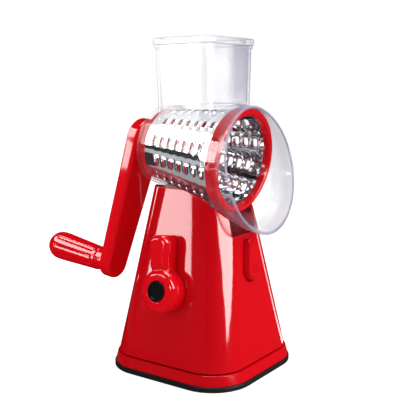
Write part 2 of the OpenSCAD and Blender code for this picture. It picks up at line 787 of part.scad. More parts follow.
module housing_foot() difference() {
    union() {
        translate([-foot_half_width, -foot_front, deck_height])
            cube([2 * foot_half_width, foot_front + foot_back, foot_top - deck_height]);
        for (p = foot_rib_places_shares)
            translate([p * notch_half - foot_rib_width / 2, -foot_front - foot_rib_proud,
                       deck_height])
                cube([foot_rib_width, foot_rib_proud + overrun, foot_rib_height]);
    }
    translate([-foot_half_width + foot_wall, -foot_front + foot_wall, deck_height - overrun])
        cube([2 * (foot_half_width - foot_wall), foot_front + foot_back - 2 * foot_wall,
              foot_top]);
    translate([-latch_window_half, -foot_front - overrun, latch_window_bottom])
        cube([2 * latch_window_half, foot_wall + 2 * overrun,
              latch_window_top - latch_window_bottom]);
}

module drum_housing() color(clear_plastic) difference() {
    union() {
        barrel_form(0);
        drum_frame() translate([0, 0, -barrel_back - bush_collar_length])
            cylinder(h = bush_collar_length + overrun, r = rear_bush_radius + bush_collar_wall);
        chute_solid(chute_root, flange_bottom, 0);
        translate([0, -chute_forward, flange_bottom - chute_bead_height])
            slab(chute_width / 2 + chute_bead, chute_depth / 2 + chute_bead,
                chute_corner + chute_bead, chute_bead_height);
        housing_foot();
    }
    drum_frame() {
        translate([0, 0, -barrel_back + back_wall])
            cylinder(h = barrel_back - back_wall + ring_front - ring_length - ring_gap + overrun,
                r1 = barrel_r(-barrel_back + back_wall) - barrel_wall,
                r2 = barrel_r(ring_front - ring_length - ring_gap + overrun) - barrel_wall);
        translate([0, 0, ring_front - ring_length - ring_gap])
            cylinder(h = guard_length, r = ring_radius + ring_gap);
        translate([0, -guard_drop, 0]) rotate_extrude() intersection() {
            guard_profile(guard_wall, overrun);
            translate([0, ring_front]) square([far, far]);
        }
        translate([0, 0, -barrel_back - bush_collar_length - overrun])
            cylinder(h = bush_collar_length + back_wall + 2 * overrun,
                r = rear_bush_radius + running_gap / 2);
    }
    chute_solid(chute_root, flange_bottom + overrun, chute_wall);
    guard_frame() translate([-far, -far, 0]) cube([2 * far, 2 * far, far]);
}

module pusher_solid(z1, z2, inset) translate([0, -chute_forward, 0]) hull() {
    for (z = [z1, z2 - overrun / 10])
        translate([0, 0, z])
            thin_slab(chute_half_x(z1) - chute_wall - pusher_gap - inset
                    + (z - z1) * chute_draft / (flange_bottom - barrel_top),
                chute_half_y(z1) - chute_wall - pusher_gap - inset
                    + (z - z1) * chute_draft / (flange_bottom - barrel_top),
                chute_corner - chute_wall - pusher_gap - inset);
}

module food_pusher() color(clear_plastic) difference() {
    union() {
        pusher_solid(pusher_bottom, total_height, 0);
        translate([0, -chute_forward, flange_bottom])
            slab(chute_width / 2 + flange_overhang, chute_depth / 2 + flange_overhang,
                chute_corner + flange_overhang, flange_thick);
    }
    pusher_solid(pusher_bottom + pusher_floor, total_height + overrun, pusher_wall);
}

// Drum
module slot(width, length) {
    square([width, length - width], center = true);
    for (side = [-1, 1]) translate([0, side * (length - width) / 2]) circle(width / 2, $fn = 24);
}
module at_teeth() for (i = [0 : teeth_around - 1], j = [0 : teeth_along - 1]) {
    s = tooth_first - tooth_pitch * (j + (i % 2) / 2);
    rotate([0, 0, 360 / teeth_around * (i + 0.5)]) translate([sleeve_r(s), 0, s])
        rotate([0, 90, 0]) children();
}
module drum_sleeve() color(bright_steel) drum_frame() difference() {
    union() {
        translate([0, 0, -sleeve_back])
            cylinder(h = sleeve_back + sleeve_front, r1 = sleeve_r(-sleeve_back),
                r2 = sleeve_r(sleeve_front));
        at_teeth() translate([0, 0, -steel_thick]) linear_extrude(tooth_height + steel_thick)
            slot(hole_width + 2 * tooth_rim, hole_length + 2 * tooth_rim);
    }
    translate([0, 0, -sleeve_back - overrun])
        cylinder(h = sleeve_back + sleeve_front + 2 * overrun,
            r1 = sleeve_r(-sleeve_back - overrun) - steel_thick,
            r2 = sleeve_r(sleeve_front + overrun) - steel_thick);
    at_teeth() translate([0, 0, -3 * steel_thick])
        linear_extrude(tooth_height + 4 * steel_thick) slot(hole_width, hole_length);
}

module drum_front_ring() color(abs_red) drum_frame() difference() {
    union() {
        translate([0, 0, ring_front - ring_length])
            cylinder(h = ring_length - ring_round, r = ring_radius);
        translate([0, 0, ring_front - ring_length])
            cylinder(h = ring_length, r = ring_radius - ring_round);
        translate([0, 0, ring_front - ring_round]) rotate_extrude()
            translate([ring_radius - ring_round, 0]) circle(ring_round);
    }
    translate([0, 0, ring_front - ring_length - overrun])
        cylinder(h = ring_length + 2 * overrun, r = ring_bore);
    translate([0, 0, ring_front - ring_lead])
        cylinder(h = ring_lead + overrun, r1 = ring_bore, r2 = ring_bore + ring_lead + overrun);
    translate([0, 0, ring_front - ring_length - overrun])
        cylinder(h = sleeve_front - ring_front + ring_length + overrun,
            r1 = sleeve_r(ring_front - ring_length - overrun) + running_gap / 2,
            r2 = sleeve_r(sleeve_front) + running_gap / 2);
}

module hexagon(flats, height) cylinder(h = height, r = flats / 2 / cos(30), $fn = 6);

module drum_rear_hub() color(abs_red) drum_frame() difference() {
    union() {
        translate([0, 0, -sleeve_back - hub_plate])
            cylinder(h = hub_plate, r = sleeve_r(-sleeve_back));
        difference() {
            translate([0, 0, -sleeve_back - overrun])
                cylinder(h = hub_rim_depth + overrun,
                    r1 = sleeve_r(-sleeve_back - overrun) - steel_thick - running_gap,
                    r2 = sleeve_r(-sleeve_back + hub_rim_depth) - steel_thick - running_gap);
            translate([0, 0, -sleeve_back])
                cylinder(h = hub_rim_depth + overrun,
                    r = sleeve_r(-sleeve_back) - steel_thick - hub_rim_wall);
        }
        translate([0, 0, -sleeve_back - hub_plate])
            cylinder(h = hub_boss_length, r = hub_boss_radius);
    }
    translate([0, 0, -sleeve_back - hub_plate - overrun]) rotate([0, 0, -arm_swing])
        hexagon(drive_flats + 2 * socket_gap, hub_boss_length - hub_boss_end);
}

// Crank, in a frame whose z axis runs backward from the drum
module crank_shaft() color(pale_nylon) crank_frame() {
    translate([0, 0, sleeve_back + hub_plate + journal_gap])
        cylinder(h = arm_front - sleeve_back - hub_plate - journal_gap,
            r = crank_journal_radius);
    translate([0, 0, arm_front - overrun])
        cylinder(h = crank_root_depth + overrun, r = crank_root_radius);
    translate([0, 0, sleeve_back + hub_plate - hub_boss_length + hub_boss_end + overrun
               + socket_end_gap])
        hexagon(drive_flats, hub_boss_length - hub_boss_end);
}

module rear_bush() color(pale_nylon) crank_frame() difference() {
    union() {
        translate([0, 0, barrel_back - back_wall])
            cylinder(h = back_wall + bush_collar_length, r = rear_bush_radius);
        translate([0, 0, barrel_back + bush_collar_length])
            cylinder(h = rear_bush_flange, r = rear_bush_flange_radius);
    }
    cylinder(h = arm_front, r = crank_journal_radius + running_gap);
}

module crank_arm() color(abs_red) crank_frame() difference() {
    union() {
        translate([0, 0, arm_front]) linear_extrude(arm_thick)
            link(arm_reach, arm_hub_radius, arm_end_radius);
        translate([0, 0, neck_front])
            cylinder(h = arm_front - neck_front + overrun, r = crank_neck_radius);
    }
    translate([0, 0, neck_front - overrun])
        cylinder(h = arm_front - neck_front + overrun, r = crank_journal_radius + running_gap / 2);
    translate([0, 0, neck_front])
        cylinder(h = arm_front - neck_front + crank_root_depth,
            r = crank_root_radius + running_gap / 2);
    translate([0, arm_reach, arm_front + arm_thick - grip_pin_root])
        cylinder(h = grip_pin_root + overrun, r = grip_pin_radius + running_gap / 2);
}

module grip_pin() color(bright_steel) grip_frame()
    translate([0, 0, arm_front + arm_thick - grip_pin_root])
        cylinder(h = grip_pin_root + grip_pin_length, r = grip_pin_radius);

module crank_grip() color(abs_red) grip_frame()
    translate([0, 0, arm_front + arm_thick + grip_start_gap]) difference() {
        union() {
            cylinder(h = grip_collar_length, r = grip_collar_radius);
            translate([0, 0, grip_collar_length])
                cylinder(h = grip_widest - grip_collar_length, r1 = grip_neck_radius,
                    r2 = grip_radius);
            translate([0, 0, grip_widest])
                cylinder(h = grip_length - grip_radius - grip_widest, r = grip_radius);
            translate([0, 0, grip_length - grip_radius]) sphere(grip_radius);
        }
        translate([0, 0, -overrun])
            cylinder(h = grip_pin_length + overrun, r = grip_pin_radius + running_gap);
        for (i = [0 : flute_count - 1]) rotate([0, 0, 360 / flute_count * i])
            translate([grip_neck_radius + flute_radius - flute_depth, 0, grip_collar_length])
                rotate([0, grip_taper, 0]) {
                    translate([0, 0, flute_start - grip_collar_length])
                        cylinder(h = flute_end - flute_start, r = flute_radius, $fn = 32);
                    for (z = [flute_start, flute_end])
                        translate([0, 0, z - grip_collar_length])
                            sphere(flute_radius, $fn = 32);
                }
    }

module skirt_screw(sx, sy) color(bright_steel)
    translate([sx * screw_x, sy * screw_y, spigot_top - web_thick - screw_head_thick]) {
        cylinder(h = screw_head_thick, r = screw_head_radius);
        cylinder(h = screw_head_thick + screw_length, r = screw_radius);
    }
module skirt_screw_a() skirt_screw(-1, -1);
module skirt_screw_b() skirt_screw(1, -1);
module skirt_screw_c() skirt_screw(1, 1);
module skirt_screw_d() skirt_screw(-1, 1);

base_shell();
base_skirt();
rim_seal();
suction_cup();
pull_stem();
cam_yoke();
yoke_pin();
cam_shaft();
cam_bush();
suction_knob();
knob_cap();
knob_screw();
release_button();
latch_pin();
latch_spring();
drum_housing();
food_pusher();
drum_sleeve();
drum_front_ring();
drum_rear_hub();
crank_shaft();
rear_bush();
crank_arm();
grip_pin();
crank_grip();
skirt_screw_a();
skirt_screw_b();
skirt_screw_c();
skirt_screw_d();
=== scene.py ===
import math

import bmesh
import bpy
from mathutils import Matrix, Vector

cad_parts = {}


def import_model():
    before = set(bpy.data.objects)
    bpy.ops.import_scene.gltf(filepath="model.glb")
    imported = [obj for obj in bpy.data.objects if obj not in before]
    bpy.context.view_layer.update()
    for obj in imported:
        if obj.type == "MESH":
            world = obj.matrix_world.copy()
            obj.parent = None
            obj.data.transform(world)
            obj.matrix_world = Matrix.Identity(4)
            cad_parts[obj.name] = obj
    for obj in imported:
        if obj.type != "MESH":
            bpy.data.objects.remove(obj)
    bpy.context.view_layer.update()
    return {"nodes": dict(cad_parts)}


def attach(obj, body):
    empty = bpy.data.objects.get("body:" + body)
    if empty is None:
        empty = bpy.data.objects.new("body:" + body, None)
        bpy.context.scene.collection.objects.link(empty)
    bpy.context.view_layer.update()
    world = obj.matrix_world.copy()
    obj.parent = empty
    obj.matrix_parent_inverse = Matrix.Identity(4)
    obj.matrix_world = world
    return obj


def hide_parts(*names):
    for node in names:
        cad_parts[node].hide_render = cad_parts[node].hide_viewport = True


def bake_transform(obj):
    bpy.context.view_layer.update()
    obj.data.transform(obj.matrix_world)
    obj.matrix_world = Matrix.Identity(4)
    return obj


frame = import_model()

MM = 0.001
TURN = 2 * math.pi

# Sizes in millimetres, the same as those of the solids
AXIS_HEIGHT, AXIS_TILT = 185.6, 7.4
SEAM, CHEEK_TOP, DECK, SILL, NOTCH = 13.5, 157.0, 108.0, 119.0, 18.987
TOWER_X, TOWER_Y, SIDE_SLOPE, FRONT_SLOPE = 59.6, 61.5, 0.198, 0.152
TOWER_ROUND, TOWER_ROUND_LOSS = 29.5, 3.5
TOWER_WALL, SADDLE_GAP, RAIL_MIDDLE = 2.6, 0.6, 20.087
SKIRT_LOW, SKIRT_HIGH = 5.1, 12.5
RIM_HEIGHT, RIM_X, RIM_Y, RIM_ROUND, RIM_BORE = 4.5, 63.8, 66.6, 35.6, 53.8
FOOT_X, FOOT_FRONT, FOOT_BACK = 18.487, -39.0, 27.0

# The same, with places along the drum's axis running forward from the point over the origin
BARREL_BACK, BARREL_FRONT, COLLAR = -44.0, 32.0, 45.8
BARREL_NARROW, BARREL_TAPER = 34, 0.139
BARREL_WALL, GUARD_WALL = 2.2, 2.4
GUARD_DROP, GUARD_RADIUS, GUARD_LENGTH = 1.7, 53.0, 79.6
GUARD_SHARES = (
    (0.802, 0.377), (0.838, 0.440), (0.857, 0.503), (0.892, 0.583),
    (0.953, 0.681), (0.989, 0.779), (1.0, 0.880), (1.002, 1.03),
)
CHUTE_FORWARD, CHUTE_TOP, CHUTE_WALL = 3.9, 274.4, 2.2
CHUTE_X, CHUTE_Y, CHUTE_ROUND = 35.2, 28.9, 10.4
CHUTE_DRAFT = 48.69  # height over which the chute narrows by 1 mm on each side
RING_BACK, RING_FRONT, RING_SEAT = 34.25, 45.15, 43.8
SLEEVE_BACK, SLEEVE_FRONT, SLEEVE_GAP, STEEL_THICK = -37.0, 38.95, 1.9, 0.7
ARM_FRONT, ARM_THICK, ARM_REACH, ARM_SWING = 56.8, 12.7, 114.3, 15.4
ARM_WIDE, ARM_NARROW = 19.0, 13.0
KNOB_LEAN, BUTTON_LEAN = math.atan(SIDE_SLOPE), math.atan(FRONT_SLOPE)
BUTTON_HEIGHT, KNOB_HEIGHT, KNOB_DEPTH, KNOB_RADIUS = 97.5, 77.5, 17.6, 18
WING_TURN = math.radians(6.5)  # as the photograph shows it; the solid's wing is straight


def tower_plan(z, inset=0.0):
    """Half sizes and corner radius of the tower at a height."""
    rise = z - SEAM
    return (TOWER_X - SIDE_SLOPE * rise - inset, TOWER_Y - FRONT_SLOPE * rise - inset,
            TOWER_ROUND - TOWER_ROUND_LOSS * rise / (CHEEK_TOP - SEAM) - inset)


def barrel_r(s):
    return BARREL_NARROW + BARREL_TAPER * (s - BARREL_BACK)


def sleeve_r(s):
    return barrel_r(s) - BARREL_WALL - SLEEVE_GAP


def guard_r(s):
    """Radius of the guard's outside about its own lowered axis."""
    points = [(b * GUARD_LENGTH, a * GUARD_RADIUS) for a, b in GUARD_SHARES]
    if s <= points[0][0]:
        return 0.0
    for (s0, r0), (s1, r1) in zip(points, points[1:]):
        if s <= s1:
            return r0 + (r1 - r0) * (s - s0) / (s1 - s0)
    return points[-1][1]


def turned(axis, degrees):
    return Matrix.Rotation(math.radians(degrees), 4, axis)


AT_DRUM = Matrix.Translation((0, 0, AXIS_HEIGHT)) @ turned("X", 90 + AXIS_TILT)
AT_CRANK = (Matrix.Translation((0, 0, AXIS_HEIGHT)) @ turned("X", AXIS_TILT - 90)
            @ turned("Z", ARM_SWING))
KNOB_Z = KNOB_HEIGHT - KNOB_DEPTH * math.sin(KNOB_LEAN)
AT_KNOB = Matrix.Translation((-tower_plan(KNOB_Z)[0], 0, KNOB_Z)) @ turned(
    "Y", math.degrees(KNOB_LEAN) - 90)
AT_BUTTON = Matrix.Translation((0, -tower_plan(BUTTON_HEIGHT)[1], BUTTON_HEIGHT)) @ turned(
    "X", -math.degrees(BUTTON_LEAN))
PAD = AT_BUTTON @ turned("X", 90)
UPRIGHT = Matrix.Identity(4)


# Mesh building
def placed(name, data):
    """A new object in the scene."""
    body = bpy.data.objects.new(name, data)
    bpy.context.scene.collection.objects.link(body)
    return body


class Form:
    """Points and faces in millimetres, in one of the frames above."""

    def __init__(self):
        self.points, self.faces = [], []

    def ring(self, points):
        first = len(self.points)
        self.points += [tuple(p) for p in points]
        return list(range(first, len(self.points)))

    def band(self, a, b, closed=True):
        """Faces between two rings. A ring of one point is a pole."""
        count = max(len(a), len(b))
        for i in range(count if closed else count - 1):
            j = (i + 1) % count
            corners = [a[i % len(a)], a[j % len(a)], b[j % len(b)], b[i % len(b)]]
            self.faces.append(list(dict.fromkeys(corners)))

    def bands(self, rings, closed=True):
        for a, b in zip(rings, rings[1:]):
            self.band(a, b, closed)

    def loft(self, rings, capped=True, joined=False):
        """Bands through all rings, with the ends capped or joined to each other."""
        made = [self.ring(r) for r in rings]
        self.bands(made)
        if joined:
            self.band(made[-1], made[0])
        elif capped:
            for end in (made[0], made[-1]):
                if len(end) > 2:
                    self.faces.append(list(end))

    def make(self, name, at=UPRIGHT, weld=0.0):
        """The form as an object, its points closer than weld made one."""
        mesh = bpy.data.meshes.new(name)
        mesh.from_pydata([(at @ Vector(p)) * MM for p in self.points], [], self.faces)
        work = bmesh.new()
        work.from_mesh(mesh)
        if weld:
            bmesh.ops.remove_doubles(work, verts=work.verts, dist=weld * MM)
        bmesh.ops.recalc_face_normals(work, faces=work.faces)
        work.to_mesh(mesh)
        work.free()
        return placed(name, mesh)


def lofted(name, rings, at=UPRIGHT, **how):
    """A solid through a stack of rings."""
    form = Form()
    form.loft(rings, **how)
    return form.make(name, at)


def applied(body):
    """Works the modifiers into the mesh."""
    bpy.context.view_layer.update()
    seen = body.evaluated_get(bpy.context.evaluated_depsgraph_get())
    mesh = bpy.data.meshes.new_from_object(seen)
    body.modifiers.clear()
    old, body.data = body.data, mesh
    bpy.data.meshes.remove(old)
    return body


def cut(body, tool, how="DIFFERENCE"):
    """Takes the tool away from the body, or unites them."""
    change = body.modifiers.new("cut", "BOOLEAN")
    change.operation, change.solver, change.object = how, "EXACT", tool
    applied(body)
    bpy.data.objects.remove(tool)
    return body


def edged(body, width):
    """Rounds the sharp edges."""
    change = body.modifiers.new("edges", "BEVEL")
    change.width, change.segments, change.limit_method = width * MM, 3, "ANGLE"
    change.angle_limit = math.radians(40)
    change.miter_outer = "MITER_ARC"
    return applied(body)


def smooth(body, angle=32):
    body.data.shade_smooth()
    body.data.set_sharp_from_angle(angle=math.radians(angle))
    change = body.modifiers.new("normals", "WEIGHTED_NORMAL")
    change.keep_sharp = True
    change.weight = 60
    return applied(body)


def joined(body, *others):
    """One piece from several closed forms."""
    work = bmesh.new()
    for part in (body, *others):
        work.from_mesh(part.data)
    work.to_mesh(body.data)
    work.free()
    for part in others:
        bpy.data.objects.remove(part)
    return body


def spread(start, end, count):
    """Evenly spaced numbers, with both ends."""
    return [start + (end - start) * k / count for k in range(count + 1)]


def quarter(steps, first=0):
    """Sine and cosine at even steps through a right angle."""
    return [(math.sin(a), math.cos(a)) for a in spread(0, math.pi / 2, steps)[first:]]


def rounded_path(corners, radii, steps=6):
    """A path through 2-D corners, each rounded by its radius."""
    made = []
    for i, (corner, radius) in enumerate(zip(corners, radii)):
        here = Vector(corner)
        if radius == 0:
            made.append(here)
            continue
        back = Vector(corners[i - 1]) - here
        on = Vector(corners[(i + 1) % len(corners)]) - here
        half = back.angle(on) / 2
        reach = min(radius / math.tan(half), 0.49 * back.length, 0.49 * on.length)
        back.normalize()
        on.normalize()
        middle = here + (back + on).normalized() * (reach / math.cos(half))
        v0, v1 = here + back * reach - middle, here + on * reach - middle
        sweep = v0.angle(v1)
        for t in spread(0, 1, steps):
            made.append(middle + (v0 * math.sin((1 - t) * sweep)
                                  + v1 * math.sin(t * sweep)) / math.sin(sweep))
    return made


def eased(x):
    """0 below 0, 1 above 1, and smooth between."""
    x = min(1, max(0, x))
    return x * x * (3 - 2 * x)


def level(outline, z):
    """A flat outline, laid at a height."""
    return [(p.x, p.y, z) for p in outline]


def box_ring(half_x, half_y, r, z, centre=(0, 0), arc=10, side=1):
    """A rounded rectangle at a height, starting on the +X side and going round by +Y."""
    made = []
    corners = ((1, 1, 0), (-1, 1, 90), (-1, -1, 180), (1, -1, 270))
    for sx, sy, start in corners:
        for a in map(math.radians, spread(start, start + 90, arc)):
            made.append(Vector((centre[0] + sx * (half_x - r) + r * math.cos(a),
                                centre[1] + sy * (half_y - r) + r * math.sin(a), z)))
    full = []
    for i, p in enumerate(made):
        full.append(p)
        if i % (arc + 1) == arc:
            q = made[(i + 1) % len(made)]
            full += [p.lerp(q, k / side) for k in range(1, side)]
    return full


def lathe(profile, count=128, joined=False):
    """A turned form about z, from a path of (radius, height)."""
    form = Form()
    rings = []
    for r, z in profile:
        if r < 1e-6:
            rings.append([(0, 0, z)])
        else:
            rings.append([(r * math.cos(TURN * i / count), r * math.sin(TURN * i / count), z)
                          for i in range(count)])
    form.loft(rings, capped=False, joined=joined)
    return form


def inset_ring(outline, by, z):
    """The outline moved in along its normals, at a height."""
    count = len(outline)
    made = []
    for i, p in enumerate(outline):
        along = outline[(i + 1) % count] - outline[i - 1]
        inward = Vector((-along.y, along.x)).normalized()
        q = p + inward * by
        made.append((q.x, q.y, z))
    return made


def pillow(outline, z0, z1, low, high, steps=5):
    """A plate with rounded edges, from an outline that runs anticlockwise."""
    turn = quarter(steps)
    rings = [inset_ring(outline, low * (1 - s), z0 + low * (1 - c)) for s, c in turn]
    rings += [inset_ring(outline, high * (1 - c), z1 - high * (1 - s)) for s, c in turn]
    form = Form()
    form.loft(rings)
    return form


def evenly(points, count):
    """The path with its points spaced evenly."""
    lengths = [0.0]
    for a, b in zip(points, points[1:]):
        lengths.append(lengths[-1] + (b - a).length)
    made, j = [], 0
    for k in range(count + 1):
        at = lengths[-1] * k / count
        while j < len(points) - 2 and lengths[j + 1] < at:
            j += 1
        span = lengths[j + 1] - lengths[j]
        made.append(points[j].lerp(points[j + 1], (at - lengths[j]) / span if span else 0))
    return made


# Tower
def saddle_depth(p):
    """How far inside the cleared form of the housing a point lies."""
    tilt = math.radians(AXIS_TILT)
    rise = p.z - AXIS_HEIGHT
    s = -p.y * math.cos(tilt) - rise * math.sin(tilt)
    up = -p.y * math.sin(tilt) + rise * math.cos(tilt)
    r = math.hypot(p.x, up)
    forms = [COLLAR + SADDLE_GAP - r if s > BARREL_FRONT + 0.4 else -99]
    if BARREL_BACK - SADDLE_GAP < s < BARREL_FRONT + SADDLE_GAP:
        forms.append(barrel_r(s) + SADDLE_GAP - r)
    if guard_r(s) > 0:
        forms.append(guard_r(s) + SADDLE_GAP - math.hypot(p.x, up + GUARD_DROP))
    return max(forms)


def tower_columns(z, inset):
    """Points round the tower from the notch's +X edge to its -X edge, past the back."""
    hx, hy, r = tower_plan(z, inset)
    reach = hx - r
    if reach < NOTCH:
        start, corner = math.asin((NOTCH - reach) / r), []
    else:
        start, corner = 0.0, [Vector((NOTCH, -hy))]
    corner += [Vector((reach + r * math.sin(a), -(hy - r) - r * math.cos(a)))
               for a in spread(start, math.pi / 2, 24)]
    half = evenly(corner, 26)
    half += evenly([Vector((hx, -(hy - r))), Vector((hx, hy - r))], 18)[1:]
    half += [Vector((reach + r * c, hy - r + r * s)) for s, c in quarter(16, 1)]
    half += evenly([Vector((reach, hy)), Vector((0, hy))], 8)[1:]
    full = half + [Vector((-p.x, p.y)) for p in reversed(half[:-1])]
    return [Vector((p.x, p.y, z)) for p in full]


def notch_columns(z, inset):
    """Points across the front wall under the notch, from -X to +X."""
    hx, hy, r = tower_plan(z, inset)
    made = []
    for x in spread(-NOTCH, NOTCH, 20)[1:-1]:
        over = max(0.0, abs(x) - (hx - r))
        made.append(Vector((x, -(hy - r) - math.sqrt(r * r - over * over), z)))
    return made


def tower_wall():
    form = Form()
    low_rows, stack_rows, high_rows = 40, 80, 16
    foot = SEAM + 0.6  # opens the seam to a thin shadow
    lows, levels = spread(foot, SILL, low_rows), spread(SILL, CHEEK_TOP, stack_rows)
    walls = []
    for inset in (0.0, TOWER_WALL):
        lower = [form.ring(tower_columns(z, inset) + notch_columns(z, inset)) for z in lows]
        stack = [tower_columns(z, inset) for z in levels]
        upper = [[] for _ in range(high_rows)]
        for c in range(len(stack[0])):
            column = [row[c] for row in stack]
            top = float(len(column) - 1)
            for k, p in enumerate(column):
                now = saddle_depth(p)
                if now > 0:
                    before = saddle_depth(column[k - 1])
                    top = k - 1 + before / (before - now)
                    break
            for k in range(high_rows):
                at = top * (k + 1) / high_rows
                i = min(int(at), len(column) - 2)
                upper[k].append(column[i].lerp(column[i + 1], at - i))
        upper = [form.ring(row) for row in upper]
        form.bands(lower)
        count = len(stack[0])
        form.bands([lower[-1][:count], *upper], closed=False)
        walls.append((lower, upper))
    (low_out, up_out), (low_in, up_in) = walls
    form.band(up_out[-1], up_in[-1], closed=False)
    form.band(low_out[0], low_in[0])
    form.band(*([low[-1][count - 1], *low[-1][count:], low[-1][0]] for low, _ in walls),
              closed=False)
    for c in (0, count - 1):
        form.band(*([low[-1][c], *(row[c] for row in up)] for low, up in walls), closed=False)
    return form


def teardrop(grow, steps=40):
    """Outline of the button: a wide round end below and a narrow one above."""
    wide, narrow, low, high = 9.4 + grow, 4.3 + grow, -8.0, 12.9
    lean = math.asin((wide - narrow) / (high - low))
    made = [Vector((wide * math.cos(a), low + wide * math.sin(a)))
            for a in spread(math.pi - lean, 2 * math.pi + lean, steps)]
    return made + [Vector((narrow * math.cos(a), high + narrow * math.sin(a)))
                   for a in spread(lean, math.pi - lean, steps // 2)]


def block(lows, highs, r=0.4):
    """A box with softened edges."""
    middle = [(a + b) / 2 for a, b in zip(lows, highs)]
    half_x, half_y = (highs[0] - lows[0]) / 2, (highs[1] - lows[1]) / 2
    outline = [p.xy for p in box_ring(half_x, half_y, r, 0, middle[:2], arc=3)]
    return pillow(outline, lows[2], highs[2], r * 0.9, r * 0.9, steps=3)


def tower():
    body = edged(tower_wall().make("tower"), 0.7)
    rings = [level(teardrop(grow), z)
             for z, grow in ((3.0, 1.5), (0.02, 1.5), (-0.13, 1.12), (-0.42, 0.86),
                             (-0.8, 0.8), (-TOWER_WALL - 2, 0.8))]
    cut(body, lofted("slot", rings, PAD))
    plan = tower_plan(DECK, 1.2)
    deck = lofted("deck", [box_ring(*plan, z) for z in (DECK - 3.4, DECK)])
    cut(deck, block((-4.8, -60, 100), (4.8, FOOT_FRONT, 112)).make("deck_slot"))
    rails = [block((x - 1.1, FOOT_FRONT, DECK - 1), (x + 1.1, FOOT_BACK, DECK + 26), 0.8)
             .make("rail") for x in (-RAIL_MIDDLE, RAIL_MIDDLE)]
    return smooth(joined(body, deck, *rails))


def skirt():
    low, high = (SKIRT_LOW, 62.78, 65.55, 34.5), (SKIRT_HIGH, 60.94, 62.85, 30.9)
    rows = [(4.5, 62.3, 65.1, 34.1), (4.7, 62.65, 65.45, 34.45), low]
    rows += zip(*(spread(a, b, 6) for a, b in zip(low, high)))
    for s, c in quarter(5, 1):
        rows.append((SKIRT_HIGH + 0.6 * s, *(v - 0.5 * (1 - c) for v in high[1:])))
    rows.append((12.9, 56.5, 58.0, 27))
    return smooth(lofted("skirt", [box_ring(*plan, z, arc=24, side=6) for z, *plan in rows]))


def rim():
    """The rubber rim: a ring round the cup, with soft outer edges."""
    low, high = 0.9, 0.7
    rows = [(low * (1 - c), -low * (1 - s)) for s, c in quarter(5)]
    rows += [(RIM_HEIGHT - high * (1 - s), -high * (1 - c)) for s, c in quarter(5)]
    rings = [box_ring(RIM_X + d, RIM_Y + d, RIM_ROUND + d, z, arc=24, side=6) for z, d in rows]
    rings += [[Vector((p.x, p.y, 0)).normalized() * RIM_BORE + Vector((0, 0, z))
               for p in rings[0]] for z in (RIM_HEIGHT, 0.0)]
    return smooth(lofted("rim", rings, joined=True))


def cup():
    """The rubber suction cup, a bell with a thin lip."""
    path = rounded_path([(0, 9.0), (22, 9.0), (49.2, 2.5), (53.2, 2.1), (53.5, 0.3), (48.5, 0.3),
                         (22, 6.0), (0, 6.0)], [0, 5, 6, 0.6, 0.1, 3, 5, 0])
    return smooth(lathe(path).make("cup"))


def arc_path(centre, r, start, end, steps):
    return [Vector((centre[0] + r * math.cos(a), centre[1] + r * math.sin(a)))
            for a in map(math.radians, spread(start, end, steps))]


def knob():
    """Round knob with a tall wing, blended where the two meet."""
    # Half the outline: the wing's end and side, the hollow by it, and the disc
    half = [Vector((46, 0))] + arc_path((38.8, 2.0), 7.2, 0, 90, 10)
    half += [Vector((34.5 - 7.5 * k / 8, 9.2 - 0.9 * (1 - math.cos(math.pi * k / 8)) / 2))
             for k in range(9)]
    half += arc_path((18.76, 13.3), 5.0, -90, -144.7, 8)
    half += arc_path((0, 0), KNOB_RADIUS, 35.3, 180, 48)[1:]
    outline = half + [Vector((p.x, -p.y)) for p in reversed(half[1:-1])]
    turn = Matrix.Rotation(WING_TURN, 2)
    outline = [turn @ p for p in outline]
    wing = pillow(outline, 0.6, 15.6, 1.0, 4.4).make("wing", AT_KNOB)
    disc = lathe([(0, 0.6), (17.2, 0.6), (KNOB_RADIUS, 1.4),
                  *arc_path((13.8, 13.4), 4.2, 0, 90, 10), (0, KNOB_DEPTH)]).make("disc", AT_KNOB)
    cut(wing, disc, "UNION")
    change = wing.modifiers.new("blend", "REMESH")
    change.mode, change.voxel_size = "VOXEL", 0.42 * MM
    change = wing.modifiers.new("soften", "SMOOTH")
    change.factor, change.iterations = 0.5, 10
    applied(wing)
    well = lathe([(0, 14.2), (8.5, 14.2), (8.5, 16.9), (9.3, 17.7), (9.3, 20), (0, 20)])
    cut(wing, well.make("well", AT_KNOB))
    dome(wing)
    return smooth(wing, 50)


def dome(body):
    """Round the knob's outer face a little; raise that of its wing and slope it to one side."""
    back = AT_KNOB.inverted()
    wing_start, wing_blend, raised = 15, 8, 2.0
    slope_from, slope_curve, crown = 17, 190, 120
    for vertex in body.data.vertices:
        p = back @ (vertex.co / MM)
        r = math.hypot(p.x, p.y)
        share = eased((r - wing_start) / wing_blend) if p.x > 0 else 0
        beside = p.y * math.cos(WING_TURN) - p.x * math.sin(WING_TURN)
        drop = ((1 - share) * min(r, KNOB_RADIUS) ** 2 / crown
                + share * ((slope_from - beside) ** 2 / slope_curve - raised))
        p.z -= drop * min(1, max(0, (p.z - 6) / 8))
        vertex.co = (AT_KNOB @ p) * MM


def knob_cap():
    path = rounded_path([(0, 14.6), (2.0, 14.6), (6.7, 16.0), (7.1, 17.45), (8.35, 17.45),
                         (8.35, 14.2), (0, 14.2)], [0, 1.5, 0.6, 0.35, 0.5, 0.1, 0])
    return smooth(lathe(path, 96).make("cap", AT_KNOB))


